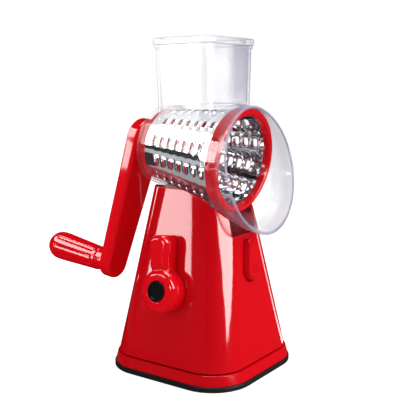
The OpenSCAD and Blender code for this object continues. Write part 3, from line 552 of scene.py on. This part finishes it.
def button():
    body = pillow(teardrop(0), -3.2, 5.0, 0.4, 1.4, steps=7).make("button", PAD)
    others = []
    dot = [(0.72 * math.cos(a), 4.88 + 0.62 * math.sin(a)) for a in (0, 0.4, 0.8, 1.2)]
    pitch_x, pitch_y, middle = 2.5, 2.17, -8.0
    for row in range(-2, 3):
        count = 5 - abs(row)
        for k in range(count):
            at = Matrix.Translation((pitch_x * (k - (count - 1) / 2), middle + pitch_y * row, 0))
            others.append(lathe([*dot, (0, 5.5)], 12).make("dot", PAD @ at))
    others.append(block((-4, 2.9, 4.0), (4, 6.0, 12.9), 0.5).make("latch_arm", AT_BUTTON))
    others.append(block((-4, 4.0, 11.9), (4, 6.4, 18.4), 0.5).make("nose", AT_BUTTON))
    return smooth(joined(body, *others), 40)


def crank_arm():
    turn = math.degrees(math.asin((ARM_WIDE - ARM_NARROW) / ARM_REACH))
    outline = arc_path((0, ARM_REACH), ARM_NARROW, turn, 180 - turn, 32)
    left, right = outline[-1], outline[0]
    ends = arc_path((0, 0), ARM_WIDE, 180 - turn, 360 + turn, 48)
    outline += [left.lerp(ends[0], k / 16) for k in range(1, 16)] + ends
    outline += [ends[-1].lerp(right, k / 16) for k in range(1, 16)]
    body = pillow(outline, ARM_FRONT, ARM_FRONT + ARM_THICK, 3.0, 3.0, steps=7)
    body = body.make("arm", AT_CRANK)
    path = rounded_path([(8.3, 52.2), (12.4, 52.2), (12.4, 57.6), (8.3, 57.6)],
                        [0.2, 0.6, 0, 0])
    return smooth(joined(body, lathe(path, 96, joined=True).make("neck", AT_CRANK)))


def grip():
    """Grip with long flutes that end round."""
    wide, ball, length = 12.9, 57.3, 70.2
    flute_r, flute_deep, flute_low, flute_high, flutes = 3.2, 0.9, 14, 55, 10
    soft = 0.3

    def body_r(z):
        if z <= 52:
            return 10.6 + 2.3 * (z - 8) / 44
        if z <= ball:
            return wide
        return math.sqrt(max(0.0, wide ** 2 - (z - ball) ** 2))

    def flute(r, angle, z):
        past = max(flute_low - z, z - flute_high, 0.0)
        if past >= flute_r:
            return r
        wide2 = flute_r ** 2 - past ** 2
        centre = r + flute_r - flute_deep
        off = centre * math.sin(angle)
        if off * off >= wide2:
            return r
        low = centre * math.cos(angle) - math.sqrt(wide2 - off * off)
        if low >= r + soft:
            return r
        blend = max(0.0, soft - abs(r - low)) / soft
        return min(r, low) - blend * blend * soft / 4

    count = 300
    rows = [(0.0, 9.2), (0.15, 9.6), (0.6, 9.8), (7.4, 9.8), (7.7, 9.95), (7.95, 10.3),
            (8.4, 10.55)]
    heights = [8.8 + k * 0.55 for k in range(90)]
    heights += [ball + wide * s for s, _ in quarter(20, 1)[:-1]]
    rows += [(z, body_r(z)) for z in sorted(heights)]
    rings = [[(0, 0, 0.0)]]
    for z, r in rows:
        ring = []
        for i in range(count):
            a = TURN * i / count
            near = (a + TURN / flutes / 2) % (TURN / flutes) - TURN / flutes / 2
            now = flute(r, near, z) if 9 < z < 60 else r
            ring.append((now * math.cos(a), now * math.sin(a), z))
        rings.append(ring)
    rings.append([(0, 0, length)])
    at = AT_CRANK @ Matrix.Translation((0, ARM_REACH, ARM_FRONT + ARM_THICK + 0.5))
    return smooth(lofted("grip", rings, at, capped=False), 40)


def front_ring():
    path = rounded_path(
        [(41.45, SLEEVE_FRONT), (41.0, 34.85), (43.2, 34.85), (43.2, RING_FRONT),
         (38.8, RING_FRONT), (37.5, 43.6), (37.5, SLEEVE_FRONT)],
        [0, 0, 0.5, 1.4, 1.0, 1.0, 0.2])
    return smooth(lathe(path, 192, joined=True).make("front_ring", AT_DRUM))


# Steel drum
ROWS, TEETH, PITCH, FIRST = 12, 7, 8.6, 28.925
HOLE_R, HOLE_STRAIGHT = 1.8, 3.6
TOOTH, TOOTH_SPREAD = 0.98, 0.95


def hole_outline():
    """Points of a hole with its normals, from the middle of the side nearest the mouth."""
    side, r = HOLE_STRAIGHT / 2, HOLE_R
    whole = HOLE_STRAIGHT + math.pi * r
    made = []
    for k in range(16):
        at = whole * k / 16
        a = (at - side) / r
        if a <= 0:
            made.append((at, r, 0, 1))
        elif a <= math.pi:
            made.append((side + r * math.sin(a), r * math.cos(a), math.sin(a), math.cos(a)))
        else:
            made.append((whole - at, -r, 0, -1))
    return made + [(-u, -v, -nu, -nv) for u, v, nu, nv in made]


def cell_outline():
    """Edge of one tooth's cell in the same order: share of its width, place along the drum."""
    made = [(k / 4, PITCH / 2) for k in range(4)]
    made += [(1.0, PITCH / 2 - PITCH * k / 8) for k in range(8)]
    made += [(1.0 - k / 4, -PITCH / 2) for k in range(4)]
    return made + [(-share, -s) for share, s in made]


def plain_levels(start, end):
    """Heights from the teeth's edge to the sleeve's end, an eighth of the pitch apart."""
    step = math.copysign(PITCH / 8, end - start)
    count = math.ceil((abs(end - start) - 0.3) / (PITCH / 8))
    return [start + step * k for k in range(count)] + [end]


def sleeve():
    """Perforated steel, each hole raised to a tooth that is tallest towards the mouth."""
    form = Form()
    hole, cell = hole_outline(), cell_outline()
    half = TURN / ROWS / 2
    # Distance from the hole's edge, and share of the way out to the cell's edge
    steps = [(d, 0.0) for d in (0.0, 0.18, 0.4, 0.7, 1.05, 1.45)]
    steps += [(1.7, 0.3), (1.9, 0.62), (0.0, 1.0)]

    def at(angle, s, up):
        r = sleeve_r(s) + up
        return (r * math.sin(angle), r * math.cos(angle), s)

    def strip(middle, s, up):
        return form.ring([at(middle + half * (k / 4 - 1), s, up) for k in range(9)])

    for i in range(ROWS):
        middle = TURN / ROWS * (i + 0.5)
        top = FIRST - PITCH * (i % 2) / 2 + PITCH / 2
        for j in range(TEETH):
            s0 = top - PITCH * (j + 0.5)
            middle_r = sleeve_r(s0)
            outers, inners = [], []
            for d, far in steps:
                lift = TOOTH * math.exp(-(d / TOOTH_SPREAD) ** 2) * (1 - far) ** 1.5
                outer, inner = [], []
                for (u, v, nu, nv), (share, ds) in zip(hole, cell):
                    a = (u + nu * d) / middle_r * (1 - far) + share * half * far
                    s = (v + nv * d) * (1 - far) + ds * far
                    tall = lift * (1 + 0.25 * max(-1, min(1, (v + nv * d) / HOLE_R))) / 1.25
                    outer.append(at(middle + a, s0 + s, tall))
                    inner.append(at(middle + a, s0 + s, tall - STEEL_THICK))
                outers.append(outer)
                inners.append(inner)
            outs, ins = ([form.ring(r) for r in rings] for rings in (outers, inners))
            form.bands(outs)
            form.bands(ins[::-1])
            form.band(ins[0], outs[0])
        for levels in (plain_levels(top, SLEEVE_FRONT),
                       plain_levels(top - PITCH * TEETH, SLEEVE_BACK)):
            for up in (0, -STEEL_THICK):
                form.bands([strip(middle, s, up) for s in levels], closed=False)
        for s in (SLEEVE_FRONT, SLEEVE_BACK):
            form.band(strip(middle, s, 0), strip(middle, s, -STEEL_THICK), closed=False)
    flip = AT_DRUM @ turned("Z", -90) @ Matrix.Scale(-1, 4, (1, 0, 0))
    return smooth(form.make("sleeve", flip, weld=0.01), 50)


# Clear housing
# The guard's slanted rim lies in a plane: how far out it is, and its normal
RIM_REACH, RIM_SLOPE = 57.878, Vector((0, 0.30154, 0.95345))


def guard_polar(s, angle, inset=0.0):
    """Distance from the drum's axis to the lowered guard, along one direction."""
    g = guard_r(s) - inset
    if g <= GUARD_DROP:
        return 0.0
    return (-GUARD_DROP * math.sin(angle)
            + math.sqrt(g * g - (GUARD_DROP * math.cos(angle)) ** 2))


def soft_max(a, b, k):
    h = max(k - abs(a - b), 0) / k
    return max(a, b) + h * h * k / 4


def outer_r(s, angle):
    body = barrel_r(s)
    body += (COLLAR - body) * eased((s - BARREL_FRONT + 0.6) / 2.2)
    return soft_max(body, guard_polar(s, angle), 1.0)


def inner_r(s, angle):
    if s < RING_BACK:
        return barrel_r(s) - BARREL_WALL
    if s < RING_FRONT:
        return RING_SEAT
    t = min(1, (s - RING_FRONT) / 2.0)
    return soft_max(RING_SEAT, guard_polar(s, angle, GUARD_WALL + 2.5 * (1 - t)), 1.0)


def rim_s(angle, r_at):
    """Where a wall of the housing meets the guard's slanted rim."""
    s = 60.0
    for _ in range(20):
        s = (RIM_REACH - RIM_SLOPE.y * r_at(s, angle) * math.sin(angle)) / RIM_SLOPE.z
    return s


def housing_shell():
    """Barrel, collar and guard: one path along the wall for each direction round the axis."""
    def polar(r, a, s):
        return Vector((r * math.cos(a), r * math.sin(a), s))

    neck = ((11.05, -49.6), (11.3, -50), (13.4, -50), (13.85, -49.8), (14.0, -49.3),
            (14.0, -44.9), (14.2, -44.3), (14.8, -44.0), (22, -44))
    inside = barrel_r(-39.6) - BARREL_WALL
    back = ((inside - 0.25, -40.6), (inside - 1.0, -41.35), (inside - 2.0, -41.6),
            (22, -41.6), (11.3, -41.6), (11.05, -41.4))
    seat = ((RING_SEAT, 43), (RING_SEAT, 38.6), (RING_SEAT, 34.6), (RING_SEAT, 34.35),
            (43.6, RING_BACK), (42.9, 34.2), (42.66, 34.0))
    flare = 33.8
    outer_s = [-41 + k * 6.6 for k in range(11)] + [31.4, 31.8, 32.3, 32.8, 33.3, flare]
    inner_s = [-39.6 + k * 7.36 for k in range(11)]
    count, rows, lip, turn = 192, 18, 0.9, 2.4
    edge = barrel_r(BARREL_BACK) + 0.14
    columns = []
    for i in range(count):
        a = TURN * i / count
        path = [polar(r, a, s) for r, s in neck]
        path += [polar(edge - turn * (1 - s), a, BARREL_BACK + turn * (1 - c))
                 for s, c in quarter(6)]
        path += [polar(outer_r(s, a), a, s) for s in outer_s]
        end, end_in = rim_s(a, outer_r), rim_s(a, inner_r)
        path += [polar(outer_r(s, a), a, s) for s in spread(flare, end - lip, rows)[1:]]
        far_out, far_in = polar(outer_r(end, a), a, end), polar(inner_r(end_in, a), a, end_in)
        back_out = path[-1] - far_out
        side = (far_in - far_out).normalized() * lip
        path += [far_out + side * (1 - c) + back_out * (1 - s) for s, c in quarter(5, 1)]
        back_in = polar(inner_r(end_in - lip, a), a, end_in - lip) - far_in
        path += [far_in - side * (1 - s) + back_in * (1 - c) for s, c in quarter(5)]
        path += [polar(inner_r(s, a), a, s)
                 for s in spread(end_in - lip, RING_FRONT + 0.1, rows)[1:]]
        path += [polar(r, a, s) for r, s in seat]
        path += [polar(inner_r(s, a), a, s) for s in reversed(inner_s)]
        path += [polar(r, a, s) for r, s in back]
        columns.append(path)
    return lofted("housing", zip(*columns), AT_DRUM, joined=True)


def drum_room():
    """The space up to the middle of the barrel's wall."""
    back, front, half_wall = -42.8, 31.5, BARREL_WALL / 2
    room = lathe([(0, back), (barrel_r(back) - half_wall, back),
                  (barrel_r(front) - half_wall, front), (COLLAR - 1.0, 34.0),
                  (COLLAR - 1.0, 60), (0, 60)], 192)
    return room.make("room", AT_DRUM @ turned("Z", 0.6))


def chute_ring(z, grow):
    draft = (CHUTE_TOP - z) / CHUTE_DRAFT
    return box_ring(CHUTE_X - draft + grow, CHUTE_Y - draft + grow, CHUTE_ROUND + grow, z,
                    (0, -CHUTE_FORWARD))


def chute():
    rings = [chute_ring(z, 0) for z in (199.6, 214, 228, 242, 256, 270.9)]
    rings += [chute_ring(z, g) for z, g in ((271.5, 0.12), (271.8, 0.5), (272.0, 1.0),
                                            (272.3, 1.2), (273.8, 1.2), (274.2, 1.05),
                                            (CHUTE_TOP, 0.7))]
    return lofted("chute", rings)


def chute_hollow():
    wall = -CHUTE_WALL
    rings = [chute_ring(z, wall) for z in (199.9, 214, 228, 242, 256, 273.7)]
    rings += [chute_ring(z, g) for z, g in ((274.15, wall + 0.15), (274.45, wall + 0.6),
                                            (276, wall + 0.6))]
    return lofted("chute_hollow", rings)


def foot_outline(inset):
    """Outline of the foot, with four ribs on its front when it is the outside."""
    x, front, back = FOOT_X - inset, FOOT_FRONT + inset, FOOT_BACK - inset
    corners, radii = [(-x, back), (-x, front)], [1.6, 1.2]
    if inset == 0:
        for rib in (-14.81, -7.6, 7.6, 14.81):
            left, right, out = rib - 0.8, rib + 0.8, front - 1.4
            corners += [(left, front), (left, out), (right, out), (right, front)]
            radii += [0.3, 0.4, 0.4, 0.3]
    corners += [(x, front), (x, back)]
    radii += [1.2, 1.6]
    return rounded_path(corners, radii, steps=4)


def foot():
    outside = foot_outline(0)
    low, high, edge = DECK, 160.0, 0.4
    rings = [inset_ring(outside, 0.3, low), level(outside, low + edge), level(outside, high)]
    hollow = [level(foot_outline(2.2), z) for z in (low - 3, high + 3)]
    return cut(lofted("foot", rings), lofted("foot_hollow", hollow))


def housing():
    body = housing_shell()
    for part in (chute(), foot()):
        cut(body, cut(part, drum_room()), "UNION")
    cut(body, chute_hollow())
    cut(body, block((-5.4, -45, 110.4), (5.4, -33, 116.0), 0.6).make("window"))
    return smooth(body, 30)


def pusher():
    """Cup that slides in the chute, with the flange that closes it."""
    low, half_x, half_y, r = 223.9, 31.463, 25.163, 7.7

    def ring(z, inset):
        wide = (z - low) / CHUTE_DRAFT - inset
        return box_ring(half_x + wide, half_y + wide, max(1.0, r - inset), z,
                        (0, -CHUTE_FORWARD))

    def flange(z, out):
        return box_ring(CHUTE_X + out, CHUTE_Y + out, CHUTE_ROUND + out, z,
                        (0, -CHUTE_FORWARD))

    rings = [ring(z, inset) for z, inset in (
        (low, 2.2), (224.0, 1.5), (224.5, 0.6), (225.3, 0.1), (226.0, 0), (238, 0), (250, 0),
        (262, 0), (273.6, 0), (274.2, -0.2))]
    rings += [flange(z, out) for z, out in (
        (CHUTE_TOP, -1.6), (CHUTE_TOP, 1.0), (274.55, 1.7), (275.0, 2.1), (275.6, 2.2),
        (278.6, 2.2), (279.3, 2.05), (279.8, 1.6), (280.0, 0.9), (280.0, -2.6))]
    rings += [ring(z, inset) for z, inset in (
        (280.0, 1.2), (279.8, 1.6), (279.3, 1.9), (278.6, 2.0), (262, 2.0), (250, 2.0),
        (238, 2.0), (228.6, 2.0), (227.3, 2.2), (226.6, 2.9), (226.3, 4.0))]
    return smooth(lofted("pusher", rings), 40)


# Finishes
class Value:
    """A shader socket that arithmetic works on."""

    def __init__(self, finish, socket):
        self.finish, self.socket = finish, socket

    def math(self, operation, *terms):
        return self.finish.node("Math", {"operation": operation}, dict(enumerate(terms)))

    def __add__(self, other):
        return self.math("ADD", self, other)

    def __rsub__(self, other):
        return self.math("SUBTRACT", other, self)

    def __mul__(self, other):
        return self.math("MULTIPLY", self, other)

    def __pow__(self, other):
        return self.math("POWER", self, other)

    __radd__, __rmul__ = __add__, __mul__


class Nodes:
    """The shader nodes of a material or a world."""

    def __init__(self, owner):
        owner.use_nodes = True
        self.tree = owner.node_tree

    def plug(self, socket, value):
        if isinstance(value, Value):
            self.tree.links.new(value.socket, socket)
        else:
            socket.default_value = value

    def node(self, kind, settings=None, inputs=None, out=0):
        made = self.tree.nodes.new("ShaderNode" + kind)
        for key, value in (settings or {}).items():
            if key == "stops":
                ramp = made.color_ramp.elements
                while len(ramp) < len(value):
                    ramp.new(0.5)
                for stop, (at, colour) in zip(ramp, value):
                    stop.position, stop.color = at, colour
            else:
                setattr(made, key, value)
        for key, value in (inputs or {}).items():
            self.plug(made.inputs[key], value)
        return Value(self, made.outputs[out])

    def seen(self):
        """1 for what the camera sees, also in a reflection or through a clear piece."""
        camera, glossy, clear = (self.node("LightPath", out="Is %s Ray" % kind)
                                 for kind in ("Camera", "Glossy", "Transmission"))
        return camera + glossy + clear


class Finish(Nodes):
    """A material with one Principled surface."""

    def __init__(self, name, **plain):
        self.material = bpy.data.materials.new(name)
        super().__init__(self.material)
        self.surface = self.tree.nodes["Principled BSDF"]
        self.output = self.tree.nodes["Material Output"]
        self.place = self.node("TexCoord", out="Object")
        self.set(**plain)

    def set(self, **inputs):
        for key, value in inputs.items():
            self.plug(self.surface.inputs[key.replace("_", " ")], value)

    def ramp(self, value, start, end, top=1.0):
        """Rises from 0 at one place to top at another."""
        return self.node("MapRange", inputs={"Value": value, "From Min": start * MM,
                                             "From Max": end * MM, "To Max": top})

    def noise(self, scale, detail=2.0, stretch=(1, 1, 1)):
        at = self.node("Mapping", inputs={"Vector": self.place, "Scale": stretch})
        return self.node("TexNoise", inputs={"Vector": at, "Scale": scale, "Detail": detail})

    def mixed(self, share, a, b):
        return self.node("Mix", {"data_type": "RGBA"}, {0: share, 6: a, 7: b}, out=2)

    def bump(self, height, strength, distance):
        return self.node("Bump", inputs={"Height": height, "Strength": strength,
                                         "Distance": distance})


def moulded(name, colour, darker, rough, coat=0.0):
    """Injection-moulded plastic: an even colour, faint flow marks and a very slight ripple."""
    made = Finish(name, IOR=1.5, Coat_Roughness=0.03)
    flow = made.noise(18, 3, (1, 1, 0.35))
    speck = made.noise(900, 2)
    ripple = made.noise(60, 1)
    made.set(Base_Color=made.mixed(flow, darker, colour),
             Roughness=rough + 0.03 * flow + 0.02 * speck,
             Coat_Weight=coat * (1 - 0.08 * speck) if coat else 0.0,
             Normal=made.bump(ripple, 0.05, 0.2 * MM))
    return made.material


def clear_finish(name, grey, haze=0.0):
    """Clear moulded plastic: see-through face on, greyer edge on, at the flare and its rim, with
    painted shade on the guard's +X side and the chute's front wall.
    """
    made = Finish(name, IOR=1.49, Roughness=0.35, Base_Color=(0.36, 0.34, 0.47, 1))
    flow = made.noise(25, 2)
    edge_on = made.node("LayerWeight", inputs={"Blend": 0.5}, out="Facing")
    normal = AT_DRUM.to_3x3() @ RIM_SLOPE
    rim = RIM_REACH + normal.dot(AT_DRUM.translation)
    forward = made.node("VectorMath", {"operation": "DOT_PRODUCT"},
                        {0: made.place, 1: normal}, out="Value")
    x, y, z = (made.node("SeparateXYZ", inputs={"Vector": made.place}, out=k) for k in "XYZ")
    # Painted shade on the guard's mouth on its +X side and on the chute's front wall; the greyer
    # flare and lip
    mouth = made.ramp(x, -4, 10, 0.22) * made.ramp(forward, rim - 24, rim - 18)
    flare = made.ramp(forward, rim - 13, rim - 8, 0.07)
    lip = made.ramp(forward, rim - 1.1, rim - 0.6, 0.68)
    tall = made.ramp(z, 214, 226)
    # Painted shade: the chute's front wall greyer than its other walls
    front = made.ramp(y, -30, -31, 0.055) * tall
    body = (edge_on ** 3.0) * (grey + 0.25 * tall) + 0.002 + haze * flow
    body = body + mouth + front + flare + lip
    see = made.node("BsdfTransparent", inputs={"Color": (0.998, 0.997, 0.999, 1)})
    inside = made.node("MixShader", inputs={0: body, 1: see,
                                            2: Value(made, made.surface.outputs[0])})
    gloss = made.node("BsdfGlossy", inputs={"Color": (1, 1, 1, 1), "Roughness": 0.02})
    share = (edge_on ** 5.0) * 0.9 + 0.012
    whole = made.node("MixShader", inputs={0: share, 1: inside, 2: gloss})
    made.plug(made.output.inputs["Surface"], whole)
    return made.material


def polished_steel():
    made = Finish("polished_steel", Metallic=1.0, IOR=1.5)
    lines = made.noise(240, 3, (1, 0.06, 0.06))
    cloud = made.noise(30, 3)
    made.set(Base_Color=made.mixed(cloud, (0.60, 0.61, 0.63, 1), (0.70, 0.71, 0.73, 1)),
             Roughness=0.02 + 0.03 * cloud + 0.03 * lines,
             Normal=made.bump(lines, 0.04, 0.05 * MM))
    return made.material


def ground_steel():
    made = Finish("ground_steel", Metallic=1.0)
    lines = made.noise(300, 3, (1, 1, 0.08))
    made.set(Base_Color=made.mixed(lines, (0.42, 0.42, 0.44, 1), (0.60, 0.60, 0.62, 1)),
             Roughness=0.22 + 0.18 * lines, Normal=made.bump(lines, 0.15, 0.1 * MM))
    return made.material


def rubber():
    made = Finish("black_rubber", IOR=1.45)
    grain = made.noise(1400, 3)
    dust = made.noise(40, 4)
    made.set(Base_Color=made.mixed(dust, (0.012, 0.012, 0.014, 1), (0.022, 0.022, 0.025, 1)),
             Roughness=0.30 + 0.14 * grain, Normal=made.bump(grain, 0.25, 0.08 * MM))
    return made.material


RED = moulded("red_abs", (0.80, 0.0035, 0.010, 1), (0.76, 0.003, 0.009, 1), 0.05, 0.3)
BLACK = moulded("black_plastic", (0.014, 0.014, 0.016, 1), (0.010, 0.010, 0.012, 1), 0.25)
NYLON = moulded("nylon", (0.80, 0.79, 0.74, 1), (0.74, 0.73, 0.68, 1), 0.45)
CLEAR = clear_finish("clear_plastic", 0.32)
PUSHER_CLEAR = clear_finish("pusher_plastic", 0.16, 0.004)
STEEL, GROUND_STEEL, RUBBER = polished_steel(), ground_steel(), rubber()


# Pieces
def piece(body, name, finish, slot, rides, *nodes):
    body.name = name
    body.data.materials.clear()
    body.data.materials.append(finish)
    if rides:
        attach(body, rides)
    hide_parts(*nodes)
    return body


piece(tower(), "tower", RED, "red_abs", "base", "base_shell")
piece(skirt(), "skirt", RED, "red_abs", "base", "base_skirt")
piece(rim(), "foot_rim", RUBBER, "black_rubber", "base", "rim_seal")
suction = piece(cup(), "suction_cup_skin", RUBBER, "black_rubber", None, "suction_cup")
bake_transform(suction)
piece(knob(), "knob", RED, "red_abs", "knob", "suction_knob")
piece(knob_cap(), "knob_centre", BLACK, "black_plastic", "knob", "knob_cap")
piece(button(), "button", RED, "red_abs", "button", "release_button")
piece(housing(), "housing", CLEAR, "clear_plastic", "housing", "drum_housing")
piece(pusher(), "pusher", PUSHER_CLEAR, "clear_plastic", "pusher", "food_pusher")
piece(sleeve(), "grating_sleeve", STEEL, "stainless", "drum", "drum_sleeve")
piece(front_ring(), "front_ring", RED, "red_abs", "drum", "drum_front_ring")
piece(crank_arm(), "arm", RED, "red_abs", "crank", "crank_arm")
piece(grip(), "grip", RED, "red_abs", "grip", "crank_grip")

# Solids that show as they are, each with its finish
CARRIED = (
    (NYLON, "pull_stem", "cam_yoke", "cam_shaft", "cam_bush", "crank_shaft", "rear_bush"),
    (RED, "drum_rear_hub"),
    (GROUND_STEEL, "yoke_pin", "knob_screw", "latch_pin", "latch_spring", "grip_pin",
     *("skirt_screw_" + letter for letter in "abcd")),
)
for finish, *nodes in CARRIED:
    for node in nodes:
        shown = frame["nodes"][node]
        for place in shown.material_slots:
            place.material = finish
        if not shown.material_slots:
            shown.data.materials.append(finish)


# Camera, from a fit to the picture's own lines, in metres and degrees
CAMERA_PLACE, CAMERA_LENS = (-0.51849, -0.37344, 0.24096), 64.77
CAMERA_TURN, CAMERA_DOWN, CAMERA_ROLL = -54.734, 9.249, -0.34


def camera():
    view = bpy.data.cameras.new("camera")
    view.lens, view.sensor_width, view.clip_start = CAMERA_LENS, 36.0, 0.01
    body = placed("camera", view)
    body.matrix_world = (Matrix.Translation(CAMERA_PLACE) @ turned("Z", CAMERA_TURN)
                         @ turned("X", 90 - CAMERA_DOWN) @ turned("Z", CAMERA_ROLL))
    bpy.context.scene.camera = body


camera()


# Studio, in metres
AIM = Vector((0, 0, 0.12))
BRIGHT = ("grating_sleeve", "housing", "pusher")


def oblong(x0, y0, x1, y1):
    """Corners of a rectangle."""
    return [(x0, y0), (x1, y0), (x1, y1), (x0, y1)]


def lying(corners, z):
    return [(*corner, z) for corner in corners]


def glow(name, strength):
    made = bpy.data.materials.new(name)
    nodes = Nodes(made)
    nodes.tree.nodes.clear()
    light = nodes.node("Emission", inputs={"Color": (1, 1, 1, 1), "Strength": strength})
    out = nodes.tree.nodes.new("ShaderNodeOutputMaterial")
    nodes.plug(out.inputs["Surface"], light)
    return made


def link_to(light, pieces):
    """Let a lamp or a card reach only the pieces named."""
    group = bpy.data.collections.new(light.name + "_pieces")
    for shown in pieces:
        group.objects.link(bpy.data.objects[shown])
    light.light_linking.receiver_collection = group


def flat(name, corners, finish):
    """A flat sheet of the stage."""
    mesh = bpy.data.meshes.new(name)
    mesh.from_pydata([Vector(p) for p in corners], [], [list(range(len(corners)))])
    mesh.materials.append(finish)
    body = placed(name, mesh)
    return body


def card(name, corners, finish, pieces=None):
    """A flat card that only reflections see: in all pieces, or in those named and the bright
    ones. A piece that it isn't linked to sees it black."""
    body = flat(name, corners, finish)
    body.visible_camera = body.visible_diffuse = body.visible_shadow = False
    body.visible_transmission = body.visible_volume_scatter = False
    if pieces is not None:
        link_to(body, (*pieces, *BRIGHT))


def floor():
    made = Finish("floor", Roughness=1.0, Specular_IOR_Level=0.0, Emission_Strength=0.68)
    seen = made.seen()
    grain = made.noise(3, 2)
    made.set(Base_Color=made.mixed(grain, (0.80, 0.80, 0.80, 1), (0.84, 0.84, 0.84, 1)),
             Emission_Color=made.mixed(seen, (0, 0, 0, 1), (1, 1, 1, 1)))
    flat("floor", lying(oblong(-6, -6, 6, 6), 0), made.material)


def world():
    made = bpy.data.worlds.new("world")
    bpy.context.scene.world = made
    nodes = Nodes(made)
    strength = nodes.node("MapRange", inputs={"Value": nodes.seen(), "To Min": 0.42})
    back = nodes.tree.nodes["Background"]
    nodes.plug(back.inputs["Strength"], strength)
    nodes.plug(back.inputs["Color"], (1, 1, 1, 1))


def lamp(name, place, size, power, pieces=(), aim=AIM):
    light = bpy.data.lights.new(name, "AREA")
    light.shape, light.size, light.energy = "SQUARE", size, power
    body = placed(name, light)
    body.location = place
    body.rotation_euler = (aim - body.location).to_track_quat("-Z", "Y").to_euler()
    body.visible_glossy = False
    if pieces:
        link_to(body, pieces)


def surround():
    """Dark cloth round the set, which only reflections see."""
    dark = glow("dark_cloth", 0.03)
    h, low = 2.6, 0.0004
    corners = oblong(-h, -h, h, h)
    card("cloth_floor", lying(corners, low), dark)
    card("cloth_top", lying(corners, h), dark)
    for name, a, b in zip(("front", "right", "back", "left"), corners,
                          corners[1:] + corners[:1]):
        card("cloth_" + name, [(*a, low), (*b, low), (*b, h), (*a, h)], dark)


def panel(name, azimuth, height, reach, strength, corners, pieces=()):
    """A white card that faces the object: its corners are so far across it and up it."""
    facing = Matrix.Translation(AIM) @ turned("Z", azimuth) @ turned("Y", -height)
    card(name, [facing @ Vector((reach, a, b)) for a, b in corners], glow(name, strength),
         pieces)


def floor_card(name, strength, corners, pieces=()):
    card(name, lying(corners, 0.0008), glow(name, strength), pieces)


floor()
world()
lamp("key", (0.8, -1.5, 0.9), 0.9, 21)
lamp("side", (-1.4, 1.2, 0.9), 0.7, 4.5)
lamp("crank_side", (-1.5, -0.3, 0.8), 0.7, 7, ("arm", "grip", "knob"))
lamp("top", (0, 0.2, 1.9), 1.2, 10, aim=Vector((0, 0, 0.1)))
surround()
panel("tower_side_panel", 142, 6, 0.4, 8.5,
      [(-0.026, 0.078), (-0.034, 0.020), (-0.038, -0.082), (0.076, -0.082), (0.067, -0.052),
       (0.057, -0.014), (0.051, 0.019), (0.038, 0.064), (0.12, 0.074),
       (0.12, 0.17), (-0.034, 0.17)], ("tower", "grip"))
panel("tower_corner_panel", -95, 8, 1.0, 12,
      [(-0.60, 0.22), (-0.55, 0.20), (-0.434, 0.116), (-0.261, 0.019), (-0.239, -0.026),
       (-0.146, -0.083), (-0.106, -0.155), (0.068, -0.163), (0.227, -0.149), (0.342, -0.128),
       (0.439, -0.101), (0.546, -0.029), (0.60, 0.03), (0.60, 0.22)],
      ("tower", "skirt", "foot_rim", "front_ring", "arm", "grip"))
panel("arm_panel", 142, 6, 0.4, 9.0,
      [(-0.034, 0.083), (-0.034, 0.16), (-0.06, 0.40), (-0.35, 0.40), (-0.35, 0.20),
       (-0.10, 0.083)], ("arm", "grip"))
panel("knob_panel_left", 150, 35, 0.4, 11,
      [(-0.20, -0.165), (0.06, -0.115), (0.06, -0.05), (-0.20, -0.09)], ("knob",))
panel("knob_panel_middle", 182, 16, 1.5, 12, oblong(-0.24, -0.10, 0.16, 0.06), ("knob",))
panel("knob_panel_right", -125, 40, 1.5, 13,
      [(-0.48, 0.53), (-0.23, 0.63), (0.30, -0.03), (0.74, -0.66), (0.32, -0.71),
       (-0.11, -0.21)], ("knob",))
panel("ring_panel", 146, 24, 1.5, 9.0, oblong(-0.02, -0.36, 0.30, 0.40),
      ("front_ring", "drum_rear_hub"))
panel("left_wall", 104, 26, 1.7, 1.15, oblong(-0.80, -1.2, 0.62, 1.3))
panel("left_strip", 88, 5, 1.4, 12.0, oblong(-0.10, -0.3, 0.10, 0.5), ("tower",))
panel("ceiling", 90, 88, 1.3, 1.2, oblong(-1.1, -1.1, 1.1, 1.1))
panel("ceiling_lamp", 90, 88, 1.25, 9.0, oblong(-0.3, -0.3, 0.3, 0.3), pieces=None)
panel("right_wall", 40, 20, 1.9, 1.0, oblong(-0.70, -0.9, 0.80, 1.1))
panel("rear_wall", -10, 14, 1.9, 1.0, oblong(-0.30, -0.25, 0.30, 1.0))
panel("front_left_wall", -150, 25, 1.9, 0.4, oblong(-0.6, -0.75, 0.7, 1.0))
panel("front_right_wall", -35, 25, 1.9, 0.4, oblong(-0.6, -0.75, 0.6, 1.0))
card("ring_card", [(-0.155, 0.020, 0.179), (-0.125, 0.058, 0.179), (-0.125, 0.058, 0.235),
                   (-0.155, 0.020, 0.235)], glow("ring_card", 9.0), ("front_ring",))
floor_card("near_floor", 0.5, [(-0.45, 0.10), (0.05, 0.10), (0.05, 0.28), (-0.10, 0.30),
                               (-0.31, 0.38), (-0.45, 0.42)])
floor_card("far_floor", 0.7, [(-0.80, 0.66), (0.259, 0.966), (0.673, 2.51), (-2.1, 1.70)])
floor_card("floor_strip", 3.0, [(0.10, -0.07), (2.0, -0.62), (2.0, -0.30), (0.10, -0.045)],
           ("tower",))
bpy.context.scene.view_settings.view_transform = "Standard"
bpy.context.scene.cycles.transparent_max_bounces = 32
